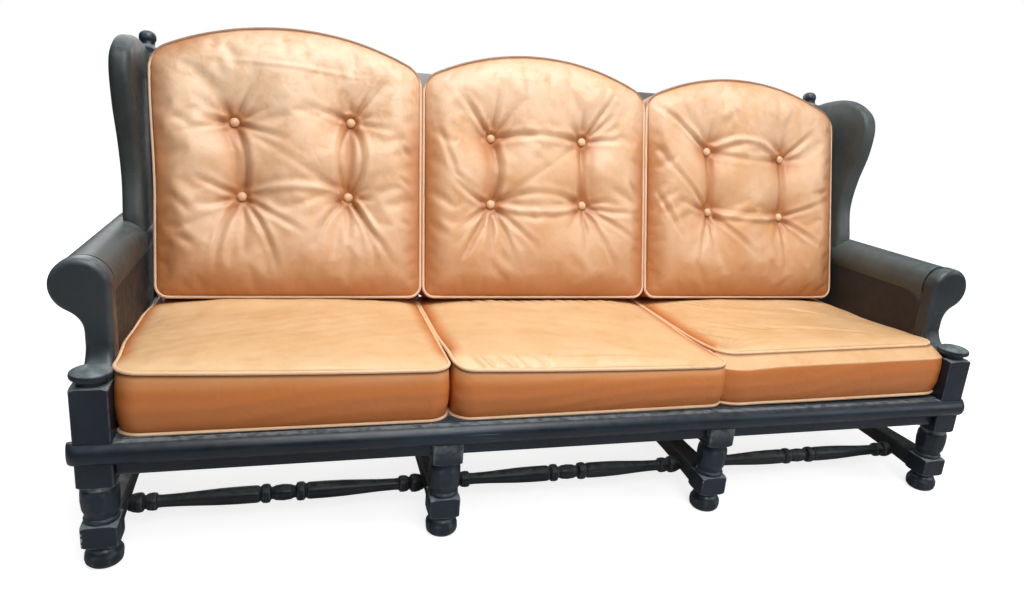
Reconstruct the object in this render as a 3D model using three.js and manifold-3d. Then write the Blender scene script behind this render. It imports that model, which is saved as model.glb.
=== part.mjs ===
// A three-seat settee: a turned wooden frame painted black, with loose piped leather cushions.
// Millimetres, +Z up. The front faces -Y, and the origin is on the floor under the middle.
// Sizes called "from the nose" are measured back from the nose of the front moulding.
import * as THREE from "three";
import { mergeVertices } from "three/addons/utils/BufferGeometryUtils.js";
import Module from "manifold-3d";

const wasm = await Module();
wasm.setup();

// Driving dimensions of the whole
const depth = 790;
const nose = -depth / 2;
const lean = THREE.MathUtils.degToRad(14.8);
const gap = 0.3;
const sides = 16;
const bevelSteps = 2;

// Front legs and posts: square blocks between turned lengths
const legSquare = 63;
const outerLegX = 957;
const innerLegX = 316;
const legFromNose = 46;
const footTop = 48;
const lowerBlock = [46, 92];
const vaseTop = 168;
const postTop = 361;
const shoulderRise = 8;
const shoulderInset = 3;
const footProfile = [[0, 0], [24, 0], [34.5, 14], [34, 26], [24, 41], [24, footTop], [0, footTop]];
const vaseProfile = [
  [0, 88], [29, 91], [31, 97], [28, 104], [33, 122], [34, 150], [29, 166], [29, 171], [0, 171],
];
const capProfile = [[0, 352], [25, 352], [25, 371], [35.5, 376], [34, 384], [20, 390], [0, 391]];

// Seat rails and the bullnose moulding along the front
const railBottom = 186;
const railTop = 259;
const railFromNose = 31;
const railThickness = 28;
const mouldingHalf = 1000;
const mouldingBottom = 215;
const mouldingTop = 257;
const sideRailX = [934, 974];
const sideRailTop = 362;
const backRailFromNose = [563, 603];
const crossRailHalf = 25;

// Stretchers
const sideStretcherHalf = 25;
const sideStretcherZ = [46, 92];
const sideStretcherArch = 16;
const sideStretcherBevel = 4;
const turnedFromNose = 142;
const turnedZ = 62;
const turnedSides = 8;
// Beads of a turned stretcher as [distance, radius], from its middle and from its ends
const middleBeads = [[0, 17], [24, 12.5], [28, 19], [40, 19.5], [46, 15], [50, 17.5], [90, 18]];
const endBeads = [[63, 12.5], [55, 13], [51, 17.5], [37, 17], [31, 13.5], [25, 19.5], [12, 19], [0, 15]];

// Arms: a scrolled front board, a roll behind it and a panel below the roll
const scrollX = 984;
const scrollZ = 515;
const scrollRadius = 52;
const rollRadius = 50;
const armFromNose = 114;
const armBoard = 46;
const armBevel = 10;
const scrollEnd = THREE.MathUtils.degToRad(-62);
const stemOuterX = 982;
const neckZ = 428;
const neckBend = 27;
const coveRadius = 36;
const coveLip = 7;
const panelX = [940, 962];

// Wings: an ear-shaped board on each arm, drawn as [from the nose, height]
const wingX = [940, 984];
const wingBevel = 10;
const wingFoot = 510;
const wingFlare = 0.03;
const wingSteps = 3;
const wingEdge = [
  [494, 573], [517, 655], [511, 735], [491, 816], [491, 893], [523, 937], [597, 964], [682, 957], [760, 935],
];

// Back posts: raked below the knee, leaning above it
const postSquare = 48;
const heelFromNose = 650;
const kneeZ = 240;
const postTopZ = 955;
const kneeFromNose = depth - postSquare / 2 - (postTopZ - kneeZ) * Math.tan(lean);
const finialProfile = [[0, -12], [17, -12], [17, 5], [20, 9], [19.5, 18], [14, 26], [0, 29]];
const finialSides = 12;

// Back frame between the posts, in the leaning frame that starts at the knee
const backBoard = 15;
const topRailZ = [655, 720];
const slatHalf = [24, 8];
const slatPitch = 110;
const slatCount = 5;
const lathZ = [320, 360];
const backFootZ = 25;

// Webbing under the seat
const strapWidth = 80;
const strapThickness = 4;
const strapsAcross = 3;
const strapsAlong = 2;

// Cushions
const cushionPitch = 615;
const cushionWidth = 604;
const pipingRadius = 4;
const seatFromNose = 39;
const seatDepth = 521;
const seatCorner = 42;
const seatBoxing = 107;
const seatCrown = 22;
const backFace = -147;
const backFootLine = 124;
const backHeights = { left: 632, middle: 622, right: 612 };
const backArchRadius = 620;
const backShoulder = 60;
const backCorner = 26;
const backBoxing = 100;
const backCrown = 30;
const backRearCrown = 27;
const rearRing = 0.72;
const rearFull = 0.85;

// Buttons: places on each back cushion as [x from its middle, height], tied by hand so a little uneven
const buttonPlaces = {
  left: [[-133, 529], [132, 545], [-117, 357], [126, 364]],
  middle: [[-131, 529], [120, 535], [-130, 360], [122, 366]],
  right: [[-117, 530], [122, 521], [-112, 361], [121, 354]],
};
const buttonRadius = 12.2;
const buttonProfile = [[0, 0], [11.5, 0], [buttonRadius, 3.5], [8, 7.5], [0, 9]];
const buttonSides = 8;
const wellProfile = [[0, 0], [13.5, 0], [27, 60], [0, 60]];
const wellFloor = 1;
const pullReach = 62;
const creaseWidth = 22;
const creaseDepth = 0.45;

const paint = new THREE.MeshStandardMaterial({ color: 0x23262b, roughness: 0.38, metalness: 0 });
const backLeather = new THREE.MeshStandardMaterial({ color: 0xcb8c58, roughness: 0.45, metalness: 0 });
const seatLeather = new THREE.MeshStandardMaterial({ color: 0xc4803f, roughness: 0.42, metalness: 0 });
const jute = new THREE.MeshStandardMaterial({ color: 0x6b5438, roughness: 0.9, metalness: 0 });

const axisX = new THREE.Vector3(1, 0, 0);
const axisY = new THREE.Vector3(0, 1, 0);
const axisZ = new THREE.Vector3(0, 0, 1);

const sofa = new THREE.Group();
const backFrame = new THREE.Group();
backFrame.position.set(0, nose + kneeFromNose, kneeZ);
backFrame.rotation.x = -lean;
sofa.add(backFrame);

function place(name, shape, material, parent = sofa) {
  const mesh = new THREE.Mesh(shape, material.clone());
  mesh.name = name;
  parent.add(mesh);
  return mesh;
}

// One piece on each side: the right one as drawn, the left one its mirror image.
function placePair(name, shape, material, parent = sofa) {
  place(`${name}_right`, shape, material, parent);
  place(`${name}_left`, shape, material, parent).scale.x = -1;
}

// A closed geometry as a solid that can be joined and cut.
function solid(shape) {
  const bare = new THREE.BufferGeometry();
  bare.setAttribute("position", shape.getAttribute("position"));
  bare.setIndex(shape.getIndex());
  const merged = mergeVertices(bare, 1e-3);
  const corners = Array.from(merged.getIndex().array);
  const triangles = [];
  for (let i = 0; i < corners.length; i += 3) {
    const triangle = corners.slice(i, i + 3);
    if (new Set(triangle).size === 3) triangles.push(...triangle);
  }
  return new wasm.Manifold(new wasm.Mesh({
    numProp: 3,
    vertProperties: merged.getAttribute("position").array,
    triVerts: Uint32Array.from(triangles),
  }));
}

function geometry(body) {
  const mesh = body.getMesh();
  const shape = new THREE.BufferGeometry();
  shape.setAttribute("position", new THREE.BufferAttribute(mesh.vertProperties, 3));
  shape.setIndex(new THREE.BufferAttribute(mesh.triVerts, 1));
  return shape;
}

function box([x0, x1], [y0, y1], [z0, z1]) {
  const shape = new THREE.BoxGeometry(x1 - x0, y1 - y0, z1 - z0);
  return shape.translate((x0 + x1) / 2, (y0 + y1) / 2, (z0 + z1) / 2);
}

// A [radius, height] profile turned about the Z axis.
function turned(profile, count = sides) {
  const points = profile.map(([radius, height]) => new THREE.Vector2(radius, height));
  return new THREE.LatheGeometry(points, count).rotateX(Math.PI / 2);
}

function outline(points) {
  return new THREE.Shape(points.map(([a, b]) => new THREE.Vector2(a, b)));
}

// An outline in (a, b) run for a length, with its edges cut back by a bevel inside that size.
function run(shape, length, bevel, steps, curveSegments = sides / 2) {
  return new THREE.ExtrudeGeometry(shape, {
    depth: length - 2 * bevel,
    bevelEnabled: bevel > 0,
    bevelThickness: bevel,
    bevelSize: bevel,
    bevelOffset: -bevel,
    bevelSegments: steps,
    curveSegments,
  }).translate(0, 0, bevel);
}

// An outline in (y, z) run along x.
function alongX(shape, [x0, x1], bevel = 0, steps = 1, curveSegments = sides / 2) {
  const turn = new THREE.Matrix4().makeBasis(axisY, axisZ, axisX);
  return run(shape, x1 - x0, bevel, steps, curveSegments).applyMatrix4(turn).translate(x0, 0, 0);
}

// An outline in (x, z) run along y.
function alongY(shape, [y0, y1], bevel = 0, steps = 1) {
  return run(shape, y1 - y0, bevel, steps).rotateX(Math.PI / 2).translate(0, y1, 0);
}

// A square block whose ends are turned down to round shoulders.
function turnedBlock([bottom, top]) {
  const half = legSquare / 2;
  const end = half - shoulderInset;
  const corner = half * Math.SQRT2 + gap;
  const round = turned([
    [0, bottom], [end, bottom], [corner, bottom + shoulderRise],
    [corner, top - shoulderRise], [end, top], [0, top],
  ]);
  return solid(box([-half, half], [-half, half], [bottom, top])).intersect(solid(round));
}

// Foot, block, vase and the block above it, standing at the origin.
function turnedLeg(top) {
  return solid(turned(footProfile))
    .add(turnedBlock(lowerBlock))
    .add(solid(turned(vaseProfile)))
    .add(turnedBlock([vaseTop, top]));
}

function frontPosts() {
  const post = turnedLeg(postTop).add(solid(turned(capProfile)));
  placePair("front_post", geometry(post).translate(outerLegX, nose + legFromNose, 0), paint);
}

// The middle legs are slotted for the front rail, and stop under the moulding.
function middleLegs() {
  const reach = [-legSquare, legSquare];
  const railFace = railFromNose - legFromNose;
  const slot = box(reach, [railFace - gap, railFace + railThickness + gap], [railBottom - gap, postTop]);
  const above = box(reach, reach, [mouldingBottom - gap, postTop]);
  const leg = turnedLeg(mouldingTop).subtract(solid(slot)).subtract(solid(above));
  placePair("front_leg_middle", geometry(leg).translate(innerLegX, nose + legFromNose, 0), paint);
}

// The moulding has a half-round nose and round ends, and is notched behind for the corner posts.
function frontMoulding() {
  const radius = (mouldingTop - mouldingBottom) / 2;
  const back = nose + railFromNose - gap;
  const section = new THREE.Shape();
  section.moveTo(back, mouldingBottom);
  section.absarc(nose + radius, mouldingBottom + radius, radius, -Math.PI / 2, Math.PI / 2, true);
  section.lineTo(back, mouldingTop);
  const plan = new THREE.Shape();
  plan.moveTo(mouldingHalf, back);
  plan.absarc(mouldingHalf - radius, nose + radius, radius, 0, -Math.PI / 2, true);
  plan.absarc(-mouldingHalf + radius, nose + radius, radius, -Math.PI / 2, -Math.PI, true);
  plan.lineTo(-mouldingHalf, back);
  const lift = [mouldingBottom - radius, mouldingTop + radius];
  const ends = run(plan, lift[1] - lift[0], 0, 1).translate(0, 0, lift[0]);
  let body = solid(alongX(section, [-mouldingHalf, mouldingHalf])).intersect(solid(ends));
  for (const x of [-outerLegX, outerLegX]) {
    const half = legSquare / 2 + gap;
    const face = nose + legFromNose - half;
    body = body.subtract(solid(box([x - half, x + half], [face, back + radius], lift)));
  }
  place("front_moulding", geometry(body), paint);
}

// The front line of the back legs and posts, as [from the nose, height].
function postLine(offset) {
  return [[heelFromNose, 0], [kneeFromNose, kneeZ], [depth - postSquare / 2, postTopZ]]
    .map(([y, z]) => [nose + y + offset, z]);
}

// Everything behind that line, for trimming what meets the posts.
function behindPosts() {
  const line = postLine(-postSquare / 2 - gap);
  const above = [line[2][0] + postTopZ * Math.tan(lean), 2 * postTopZ];
  const shape = outline([[depth, -1], [depth, above[1]], above, ...line.reverse(), [line[2][0], -1]]);
  return solid(alongX(shape, [-2 * outerLegX, 2 * outerLegX]));
}

function seatRails(trim) {
  const frontBack = railFromNose + railThickness;
  const between = outerLegX - legSquare / 2 - gap;
  const backBetween = outerLegX - postSquare / 2 - gap;
  const height = [railBottom, railTop];
  place("front_rail", box([-between, between], [nose + railFromNose, nose + frontBack], height), paint);
  const backY = backRailFromNose.map((y) => nose + y);
  place("back_seat_rail", box([-backBetween, backBetween], backY, height), paint);

  const postBack = nose + legFromNose + legSquare / 2 + gap;
  const side = box(sideRailX, [postBack, nose + kneeFromNose + postSquare / 4], [railBottom, sideRailTop]);
  placePair("side_rail", geometry(solid(side).subtract(trim)), paint);

  const cross = box(
    [innerLegX - crossRailHalf, innerLegX + crossRailHalf],
    [nose + frontBack + gap, backY[0] - gap],
    [mouldingBottom, railTop],
  );
  placePair("cross_rail", cross, paint);
}

function backPosts() {
  const half = postSquare / 2;
  const profile = outline([...postLine(-half), ...postLine(half).reverse()]);
  const length = (postTopZ - kneeZ) / Math.cos(lean);
  const finial = turned(finialProfile.map(([radius, height]) => [radius, height + length]), finialSides);
  finial.rotateX(-lean).translate(outerLegX, nose + kneeFromNose, kneeZ);
  const post = solid(alongX(profile, [outerLegX - half, outerLegX + half])).add(solid(finial));
  placePair("back_post", geometry(post), paint);
}

function middleBackLegs() {
  const half = postSquare / 2;
  const top = railBottom - gap;
  const topY = nose + THREE.MathUtils.lerp(heelFromNose, kneeFromNose, top / kneeZ);
  const heelY = nose + heelFromNose;
  const profile = outline([
    [heelY - half, 0], [heelY + half, 0], [topY + half, top], [topY - half, top],
  ]);
  placePair("back_leg_middle", alongX(profile, [innerLegX - half, innerLegX + half]), paint);
}

// Bars from front to back between the legs, arched underneath.
function sideStretchers(trim) {
  const [bottom, top] = sideStretcherZ;
  const start = nose + legFromNose + legSquare / 2 + gap;
  const end = nose + heelFromNose;
  const profile = new THREE.Shape();
  profile.moveTo(start, bottom);
  profile.quadraticCurveTo((start + end) / 2, bottom + 2 * sideStretcherArch, end, bottom);
  profile.lineTo(end, top);
  profile.lineTo(start, top);
  for (const [name, x] of [["side_stretcher_outer", outerLegX], ["side_stretcher_inner", innerLegX]]) {
    const bar = alongX(profile, [x - sideStretcherHalf, x + sideStretcherHalf], sideStretcherBevel);
    placePair(name, geometry(solid(bar).subtract(trim)), paint);
  }
}

function turnedStretchers() {
  const inner = innerLegX - sideStretcherHalf - gap;
  const outer = outerLegX - sideStretcherHalf - gap;
  const near = innerLegX + sideStretcherHalf + gap;
  const spans = { left: [-outer, -near], middle: [-inner, inner], right: [near, outer] };
  for (const [name, [x0, x1]] of Object.entries(spans)) {
    const half = (x1 - x0) / 2;
    const oneSide = [...middleBeads, ...endBeads.map(([distance, radius]) => [half - distance, radius])];
    const otherSide = oneSide.slice(1).reverse().map(([distance, radius]) => [-distance, radius]);
    const profile = [...otherSide, ...oneSide].map(([distance, radius]) => [radius, distance]);
    const bar = turned([[0, -half], ...profile, [0, half]], turnedSides);
    bar.rotateY(Math.PI / 2).translate((x0 + x1) / 2, nose + turnedFromNose, turnedZ);
    place(`turned_stretcher_${name}`, bar, paint);
  }
}

// The scrolled board at the front of an arm, with a cove down to the corner post.
function armFronts() {
  const foot = sideRailTop + gap;
  const face = nose + armFromNose;
  const innerX = scrollX - scrollRadius;
  const board = new THREE.Shape();
  board.moveTo(innerX, foot);
  board.lineTo(innerX, scrollZ);
  board.absarc(scrollX, scrollZ, scrollRadius, Math.PI, scrollEnd, true);
  board.quadraticCurveTo(stemOuterX, neckZ + neckBend, stemOuterX, neckZ);
  board.lineTo(stemOuterX, foot);
  const coveFront = nose + legFromNose + legSquare / 2 + gap;
  const coveTop = foot + coveLip + coveRadius;
  const cove = new THREE.Shape();
  cove.moveTo(face + armBevel, foot);
  cove.lineTo(face + armBevel, coveTop);
  cove.lineTo(coveFront + coveRadius, coveTop);
  cove.absarc(coveFront, coveTop, coveRadius, 0, -Math.PI / 2, true);
  cove.lineTo(coveFront, foot);
  const scroll = solid(alongY(board, [face, face + armBoard], armBevel, bevelSteps));
  const ledge = solid(alongX(cove, [innerX + armBevel / 2, stemOuterX - armBevel / 2]));
  placePair("arm_front", geometry(scroll.add(ledge)), paint);
}

function armRoll(radius) {
  const section = new THREE.Shape();
  section.absarc(scrollX, scrollZ, radius, 0, 2 * Math.PI, false);
  return solid(alongY(section, [nose + armFromNose + armBoard + gap, nose + depth]));
}

function arms(trim) {
  const clearance = armRoll(rollRadius + gap);
  placePair("arm_roll", geometry(armRoll(rollRadius).subtract(trim)), paint);

  const start = nose + armFromNose + armBoard + gap;
  const panel = box(panelX, [start, nose + depth], [sideRailTop + gap, scrollZ - armBevel]);
  placePair("arm_panel", geometry(solid(panel).subtract(clearance).subtract(trim)), paint);

  const edge = wingEdge.map(([y, z]) => new THREE.Vector2(nose + y, z));
  const ear = new THREE.Shape();
  ear.moveTo(edge[0].x, wingFoot);
  ear.lineTo(edge[0].x, edge[0].y);
  ear.splineThru(edge.slice(1));
  ear.lineTo(nose + depth, wingFoot);
  const flare = new THREE.Matrix4().makeShear(0, 0, 0, 0, wingFlare, 0);
  const wing = alongX(ear, wingX, wingBevel, bevelSteps, wingSteps).applyMatrix4(flare);
  wing.translate(-wingFlare * (scrollZ + scrollRadius), 0, 0);
  placePair("wing", geometry(solid(wing).subtract(clearance).subtract(trim)), paint);
}

// Top rail, two stiles and three slatted panels, in the leaning frame.
function backPanels() {
  const between = outerLegX - postSquare / 2 - gap;
  const thick = [-backBoard, backBoard];
  const height = [backFootZ, topRailZ[0] - gap];
  place("back_top_rail", box([-between, between], thick, topRailZ), paint, backFrame);
  const stile = box([innerLegX - postSquare / 2, innerLegX + postSquare / 2], thick, height);
  placePair("back_stile", stile, paint, backFrame);

  const [half, thin] = slatHalf;
  const span = slatPitch * (slatCount - 1) / 2 + half;
  const centres = { left: -(innerLegX + outerLegX) / 2, middle: 0, right: (innerLegX + outerLegX) / 2 };
  for (const [name, x] of Object.entries(centres)) {
    let panel = solid(box([x - span, x + span], [0, backBoard], lathZ));
    for (let i = 0; i < slatCount; i += 1) {
      const slatX = x + slatPitch * (i - (slatCount - 1) / 2);
      panel = panel.add(solid(box([slatX - half, slatX + half], [-thin, thin], height)));
    }
    place(`back_slats_${name}`, geometry(panel), paint, backFrame);
  }
}

// Straps woven into one sheet in each bay of the seat frame.
function seatWebbing() {
  const near = innerLegX + crossRailHalf + gap;
  const inner = innerLegX - crossRailHalf - gap;
  const outer = sideRailX[0] - gap;
  const bays = { left: [-outer, -near], middle: [-inner, inner], right: [near, outer] };
  const spanY = [nose + railFromNose + railThickness + gap, nose + backRailFromNose[0] - gap];
  const height = [railTop - strapThickness - gap, railTop - gap];
  const strap = ([from, to], count, i) => {
    const middle = from + (to - from) * (i + 0.5) / count;
    return [middle - strapWidth / 2, middle + strapWidth / 2];
  };
  for (const [name, spanX] of Object.entries(bays)) {
    let sheet = solid(box(strap(spanX, strapsAcross, 0), spanY, height));
    for (let i = 1; i < strapsAcross; i += 1) {
      sheet = sheet.add(solid(box(strap(spanX, strapsAcross, i), spanY, height)));
    }
    for (let i = 0; i < strapsAlong; i += 1) {
      sheet = sheet.add(solid(box(spanX, strap(spanY, strapsAlong, i), height)));
    }
    place(`seat_webbing_${name}`, geometry(sheet), jute);
  }
}

// Four edge curves of a rounded rectangle from (-w/2, 0) up to (w/2, h).
function seatEdges(width, height, radius) {
  const x = width / 2 - radius;
  const low = radius;
  const high = height - radius;
  const q = Math.PI / 4;
  const arc = (path, cx, cy, from, to) => path.absarc(cx, cy, radius, from * q, to * q, from > to);
  const [bottom, right, top, left] = Array.from({ length: 4 }, () => new THREE.Path());
  arc(arc(bottom, -x, low, 5, 6), x, low, 6, 7);
  arc(arc(right, x, low, -1, 0), x, high, 0, 1);
  arc(arc(top, -x, high, 3, 2), x, high, 2, 1);
  arc(arc(left, -x, low, 5, 4), -x, high, 4, 3);
  return { bottom, right, top, left };
}

// The same for a back cushion, whose top is an arch that runs into round shoulders.
function backEdges(height) {
  const half = cushionWidth / 2;
  const archZ = height - backArchRadius;
  const sx = half - backShoulder;
  const rise = Math.sqrt((backArchRadius - backShoulder) ** 2 - sx ** 2);
  const sz = archZ + rise;
  const end = Math.atan2(rise, sx);
  const mid = end / 2;
  const cx = half - backCorner;
  const cz = backCorner;
  const pi = Math.PI;
  const bottom = new THREE.Path();
  bottom.absarc(-cx, cz, backCorner, 1.25 * pi, 1.5 * pi, false);
  bottom.absarc(cx, cz, backCorner, 1.5 * pi, 1.75 * pi, false);
  const right = new THREE.Path();
  right.absarc(cx, cz, backCorner, -0.25 * pi, 0, false);
  right.absarc(sx, sz, backShoulder, 0, mid, false);
  const left = new THREE.Path();
  left.absarc(-cx, cz, backCorner, 1.25 * pi, pi, true);
  left.absarc(-sx, sz, backShoulder, pi, pi - mid, true);
  const top = new THREE.Path();
  top.absarc(-sx, sz, backShoulder, pi - mid, pi - end, true);
  top.absarc(0, archZ, backArchRadius, pi - end, end, true);
  top.absarc(sx, sz, backShoulder, end, mid, true);
  return { bottom, right, top, left };
}

// A point inside four edge curves, spread evenly between opposite ones.
function spread(edges, u, v) {
  const across = edges.bottom.getPointAt(u).lerp(edges.top.getPointAt(u), v);
  const along = edges.left.getPointAt(v).lerp(edges.right.getPointAt(v), u);
  const low = edges.bottom.getPointAt(0).lerp(edges.bottom.getPointAt(1), u);
  const high = edges.top.getPointAt(0).lerp(edges.top.getPointAt(1), u);
  return across.add(along).sub(low.lerp(high, v));
}

// A crowned cushion on (a, b), lying from 0 up to its boxing and crown, with piping at both edges.
function cushion({ edges, columns, rows, boxing, bulge, crown, rearCrown }) {
  const vertices = [];
  const triangles = [];
  const at = (i, j) => j * (columns.length) + i;
  for (const v of rows) {
    for (const u of columns) {
      const point = spread(edges, u, v);
      vertices.push([point.x, point.y, boxing + crown(u, v, point)]);
    }
  }
  const lastU = columns.length - 1;
  const lastV = rows.length - 1;
  for (let j = 0; j < lastV; j += 1) {
    for (let i = 0; i < lastU; i += 1) {
      triangles.push([at(i, j), at(i + 1, j), at(i + 1, j + 1)], [at(i, j), at(i + 1, j + 1), at(i, j + 1)]);
    }
  }

  const loop = [];
  for (let i = 0; i < lastU; i += 1) loop.push(at(i, 0));
  for (let j = 0; j < lastV; j += 1) loop.push(at(lastU, j));
  for (let i = lastU; i > 0; i -= 1) loop.push(at(i, lastV));
  for (let j = lastV; j > 0; j -= 1) loop.push(at(0, j));
  const count = loop.length;
  const rim = loop.map((index) => new THREE.Vector2(vertices[index][0], vertices[index][1]));
  const outward = rim.map((_, k) => {
    const along = rim[(k + 1) % count].clone().sub(rim[(k + count - 1) % count]).normalize();
    return new THREE.Vector2(along.y, -along.x);
  });
  let upper = loop;
  const addRow = (offset, scale, height) => {
    const centre = spread(edges, 0.5, 0.5);
    const row = rim.map((point, k) => {
      const moved = point.clone().addScaledVector(outward[k], offset);
      moved.sub(centre).multiplyScalar(scale).add(centre);
      return vertices.push([moved.x, moved.y, height]) - 1;
    });
    for (let k = 0; k < count; k += 1) {
      const next = (k + 1) % count;
      triangles.push([row[k], row[next], upper[next]], [row[k], upper[next], upper[k]]);
    }
    upper = row;
  };
  addRow(pipingRadius, 1, boxing - pipingRadius);
  addRow(0, 1, boxing - 2 * pipingRadius);
  addRow(bulge, 1, boxing / 2);
  addRow(0, 1, 2 * pipingRadius);
  addRow(pipingRadius, 1, pipingRadius);
  addRow(0, 1, 0);
  if (rearCrown > 0) addRow(0, rearRing, -rearFull * rearCrown);
  const centre = spread(edges, 0.5, 0.5);
  const hub = vertices.push([centre.x, centre.y, -rearCrown]) - 1;
  for (let k = 0; k < count; k += 1) triangles.push([hub, upper[(k + 1) % count], upper[k]]);

  const shape = new THREE.BufferGeometry();
  shape.setAttribute("position", new THREE.Float32BufferAttribute(vertices.flat(), 3));
  shape.setIndex(triangles.flat());
  return shape;
}

const seatNames = { left: -1, middle: 0, right: 1 };
const dome = (t) => Math.sqrt(1 - Math.abs(2 * t - 1) ** 3);
const even = (count) => Array.from({ length: count + 1 }, (_, i) => i / count);

// Seat cushions, pressed down at the rear where the back cushions stand on them.
function seatCushions() {
  const bottom = railTop + gap;
  const footY = backFace * Math.cos(lean) + (backFootLine - pipingRadius - 1) * Math.sin(lean);
  const footZ = -backFace * Math.sin(lean) + (backFootLine - pipingRadius - 1) * Math.cos(lean);
  const shape = cushion({
    edges: seatEdges(cushionWidth, seatDepth, seatCorner),
    columns: even(10),
    rows: even(9),
    boxing: seatBoxing,
    bulge: pipingRadius,
    crown: (u, v) => seatCrown * dome(u) * dome(v),
    rearCrown: 0,
  });
  shape.translate(0, nose + seatFromNose, bottom);
  const position = shape.getAttribute("position");
  for (let i = 0; i < position.count; i += 1) {
    const behind = position.getY(i) - (nose + kneeFromNose + footY);
    const rest = kneeZ + footZ - behind * Math.tan(lean);
    if (behind > 0) position.setZ(i, Math.min(position.getZ(i), rest));
  }
  for (const [name, step] of Object.entries(seatNames)) {
    place(`seat_cushion_${name}`, shape, seatLeather).position.x = step * cushionPitch;
  }
}

// How far the buttons let the face of a back cushion rise, from 0 at a button to 1 away from all.
function slack(point, buttons) {
  let free = 1;
  for (const [x, z] of buttons) {
    const away = Math.hypot(point.x - x, point.y - z);
    free *= 1 - Math.exp(-((away / pullReach) ** 2));
  }
  for (const side of [0, 1]) {
    const [high, low] = [buttons[side], buttons[side + 2]];
    const t = THREE.MathUtils.clamp((point.y - low[1]) / (high[1] - low[1]), 0, 1);
    const foldX = THREE.MathUtils.lerp(low[0], high[0], t);
    const foldZ = THREE.MathUtils.lerp(low[1], high[1], t);
    const away = Math.hypot(point.x - foldX, point.y - foldZ);
    free *= 1 - creaseDepth * Math.exp(-((away / creaseWidth) ** 2));
  }
  return free;
}

// Back cushions with four buttons each, leaning on the slats and standing on the seat.
function backCushions() {
  const columns = [0, 0.08, 0.18, 0.285, 0.35, 0.42, 0.5, 0.58, 0.65, 0.715, 0.82, 0.92, 1];
  const rows = [0, 0.08, 0.18, 0.29, 0.385, 0.46, 0.53, 0.6, 0.67, 0.76, 0.85, 0.93, 1];
  for (const [name, step] of Object.entries(seatNames)) {
    const buttons = buttonPlaces[name].map(([x, z]) => [x, z - backFootLine]);
    const shape = cushion({
      edges: backEdges(backHeights[name]),
      columns,
      rows,
      boxing: backBoxing,
      bulge: pipingRadius,
      crown: (u, v, point) => backCrown * dome(u) * dome(v) * slack(point, buttons),
      rearCrown: backRearCrown,
    });
    const wells = buttons.map(([x, z]) => {
      const well = turned(wellProfile, buttonSides);
      return solid(well.translate(x, z, backBoxing + wellFloor));
    });
    const body = wells.reduce((left, well) => left.subtract(well), solid(shape));
    const upright = geometry(body).rotateX(Math.PI / 2);
    upright.translate(step * cushionPitch, backFace + backBoxing, backFootLine);
    place(`back_cushion_${name}`, upright, backLeather, backFrame);

    buttons.forEach(([x, z], i) => {
      const button = turned(buttonProfile, buttonSides).rotateX(Math.PI / 2);
      const mesh = place(`button_${name}_${i + 1}`, button, backLeather, backFrame);
      mesh.position.set(step * cushionPitch + x, backFace - wellFloor - gap, backFootLine + z);
    });
  }
}

const trim = behindPosts();
frontPosts();
middleLegs();
frontMoulding();
seatRails(trim);
backPosts();
middleBackLegs();
sideStretchers(trim);
turnedStretchers();
armFronts();
arms(trim);
backPanels();
seatWebbing();
seatCushions();
backCushions();

export default sofa;
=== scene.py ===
import math

import bmesh
import bpy
import numpy as np
from mathutils import Matrix, Vector


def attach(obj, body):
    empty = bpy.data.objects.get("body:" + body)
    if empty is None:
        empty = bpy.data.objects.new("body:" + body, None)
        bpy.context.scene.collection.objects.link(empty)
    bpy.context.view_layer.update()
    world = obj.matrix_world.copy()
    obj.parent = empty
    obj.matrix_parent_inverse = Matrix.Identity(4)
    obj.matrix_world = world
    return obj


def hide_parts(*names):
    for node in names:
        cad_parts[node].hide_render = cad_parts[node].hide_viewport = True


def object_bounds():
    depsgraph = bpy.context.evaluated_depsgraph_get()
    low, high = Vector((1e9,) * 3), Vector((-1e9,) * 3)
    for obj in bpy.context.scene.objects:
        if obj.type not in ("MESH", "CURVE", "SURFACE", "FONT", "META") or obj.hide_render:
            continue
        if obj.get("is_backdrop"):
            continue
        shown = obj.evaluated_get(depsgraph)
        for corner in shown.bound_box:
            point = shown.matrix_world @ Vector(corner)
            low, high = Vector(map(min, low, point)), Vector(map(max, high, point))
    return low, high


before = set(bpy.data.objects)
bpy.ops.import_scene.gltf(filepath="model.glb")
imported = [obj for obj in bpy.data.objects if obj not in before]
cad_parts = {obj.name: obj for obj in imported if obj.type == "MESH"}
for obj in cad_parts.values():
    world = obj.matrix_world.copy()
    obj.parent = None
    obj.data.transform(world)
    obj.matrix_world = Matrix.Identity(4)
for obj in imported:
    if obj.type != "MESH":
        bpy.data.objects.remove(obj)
cad_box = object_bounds()

# Sizes in millimetres, as in the part's own source. Points turn into metres when a mesh is made.
MM = 0.001
PER_METRE = 1000
nose = -395
lean = math.radians(14.8)
knee = np.array([0, 182.1, 240])
gap = 0.3

leg_half = 31.5
leg_y = nose + 46
outer_x = 957
inner_x = 316
post_half = 24
side_sign = {"left": -1, "right": 1}
cushion_x = {"left": -615, "middle": 0, "right": 615}
seat_x = {"left": -620, "middle": 0, "right": 620}


# Meshes

def smooth(t):
    t = np.clip(t, 0, 1)
    return t * t * (3 - 2 * t)


def points_of(x, y, z):
    """Rows of (x, y, z) from arrays or single numbers."""
    return np.stack(np.broadcast_arrays(x, y, z), axis=1)


def full_turn(count):
    return np.linspace(0, 2 * math.pi, count, endpoint=False)


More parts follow.
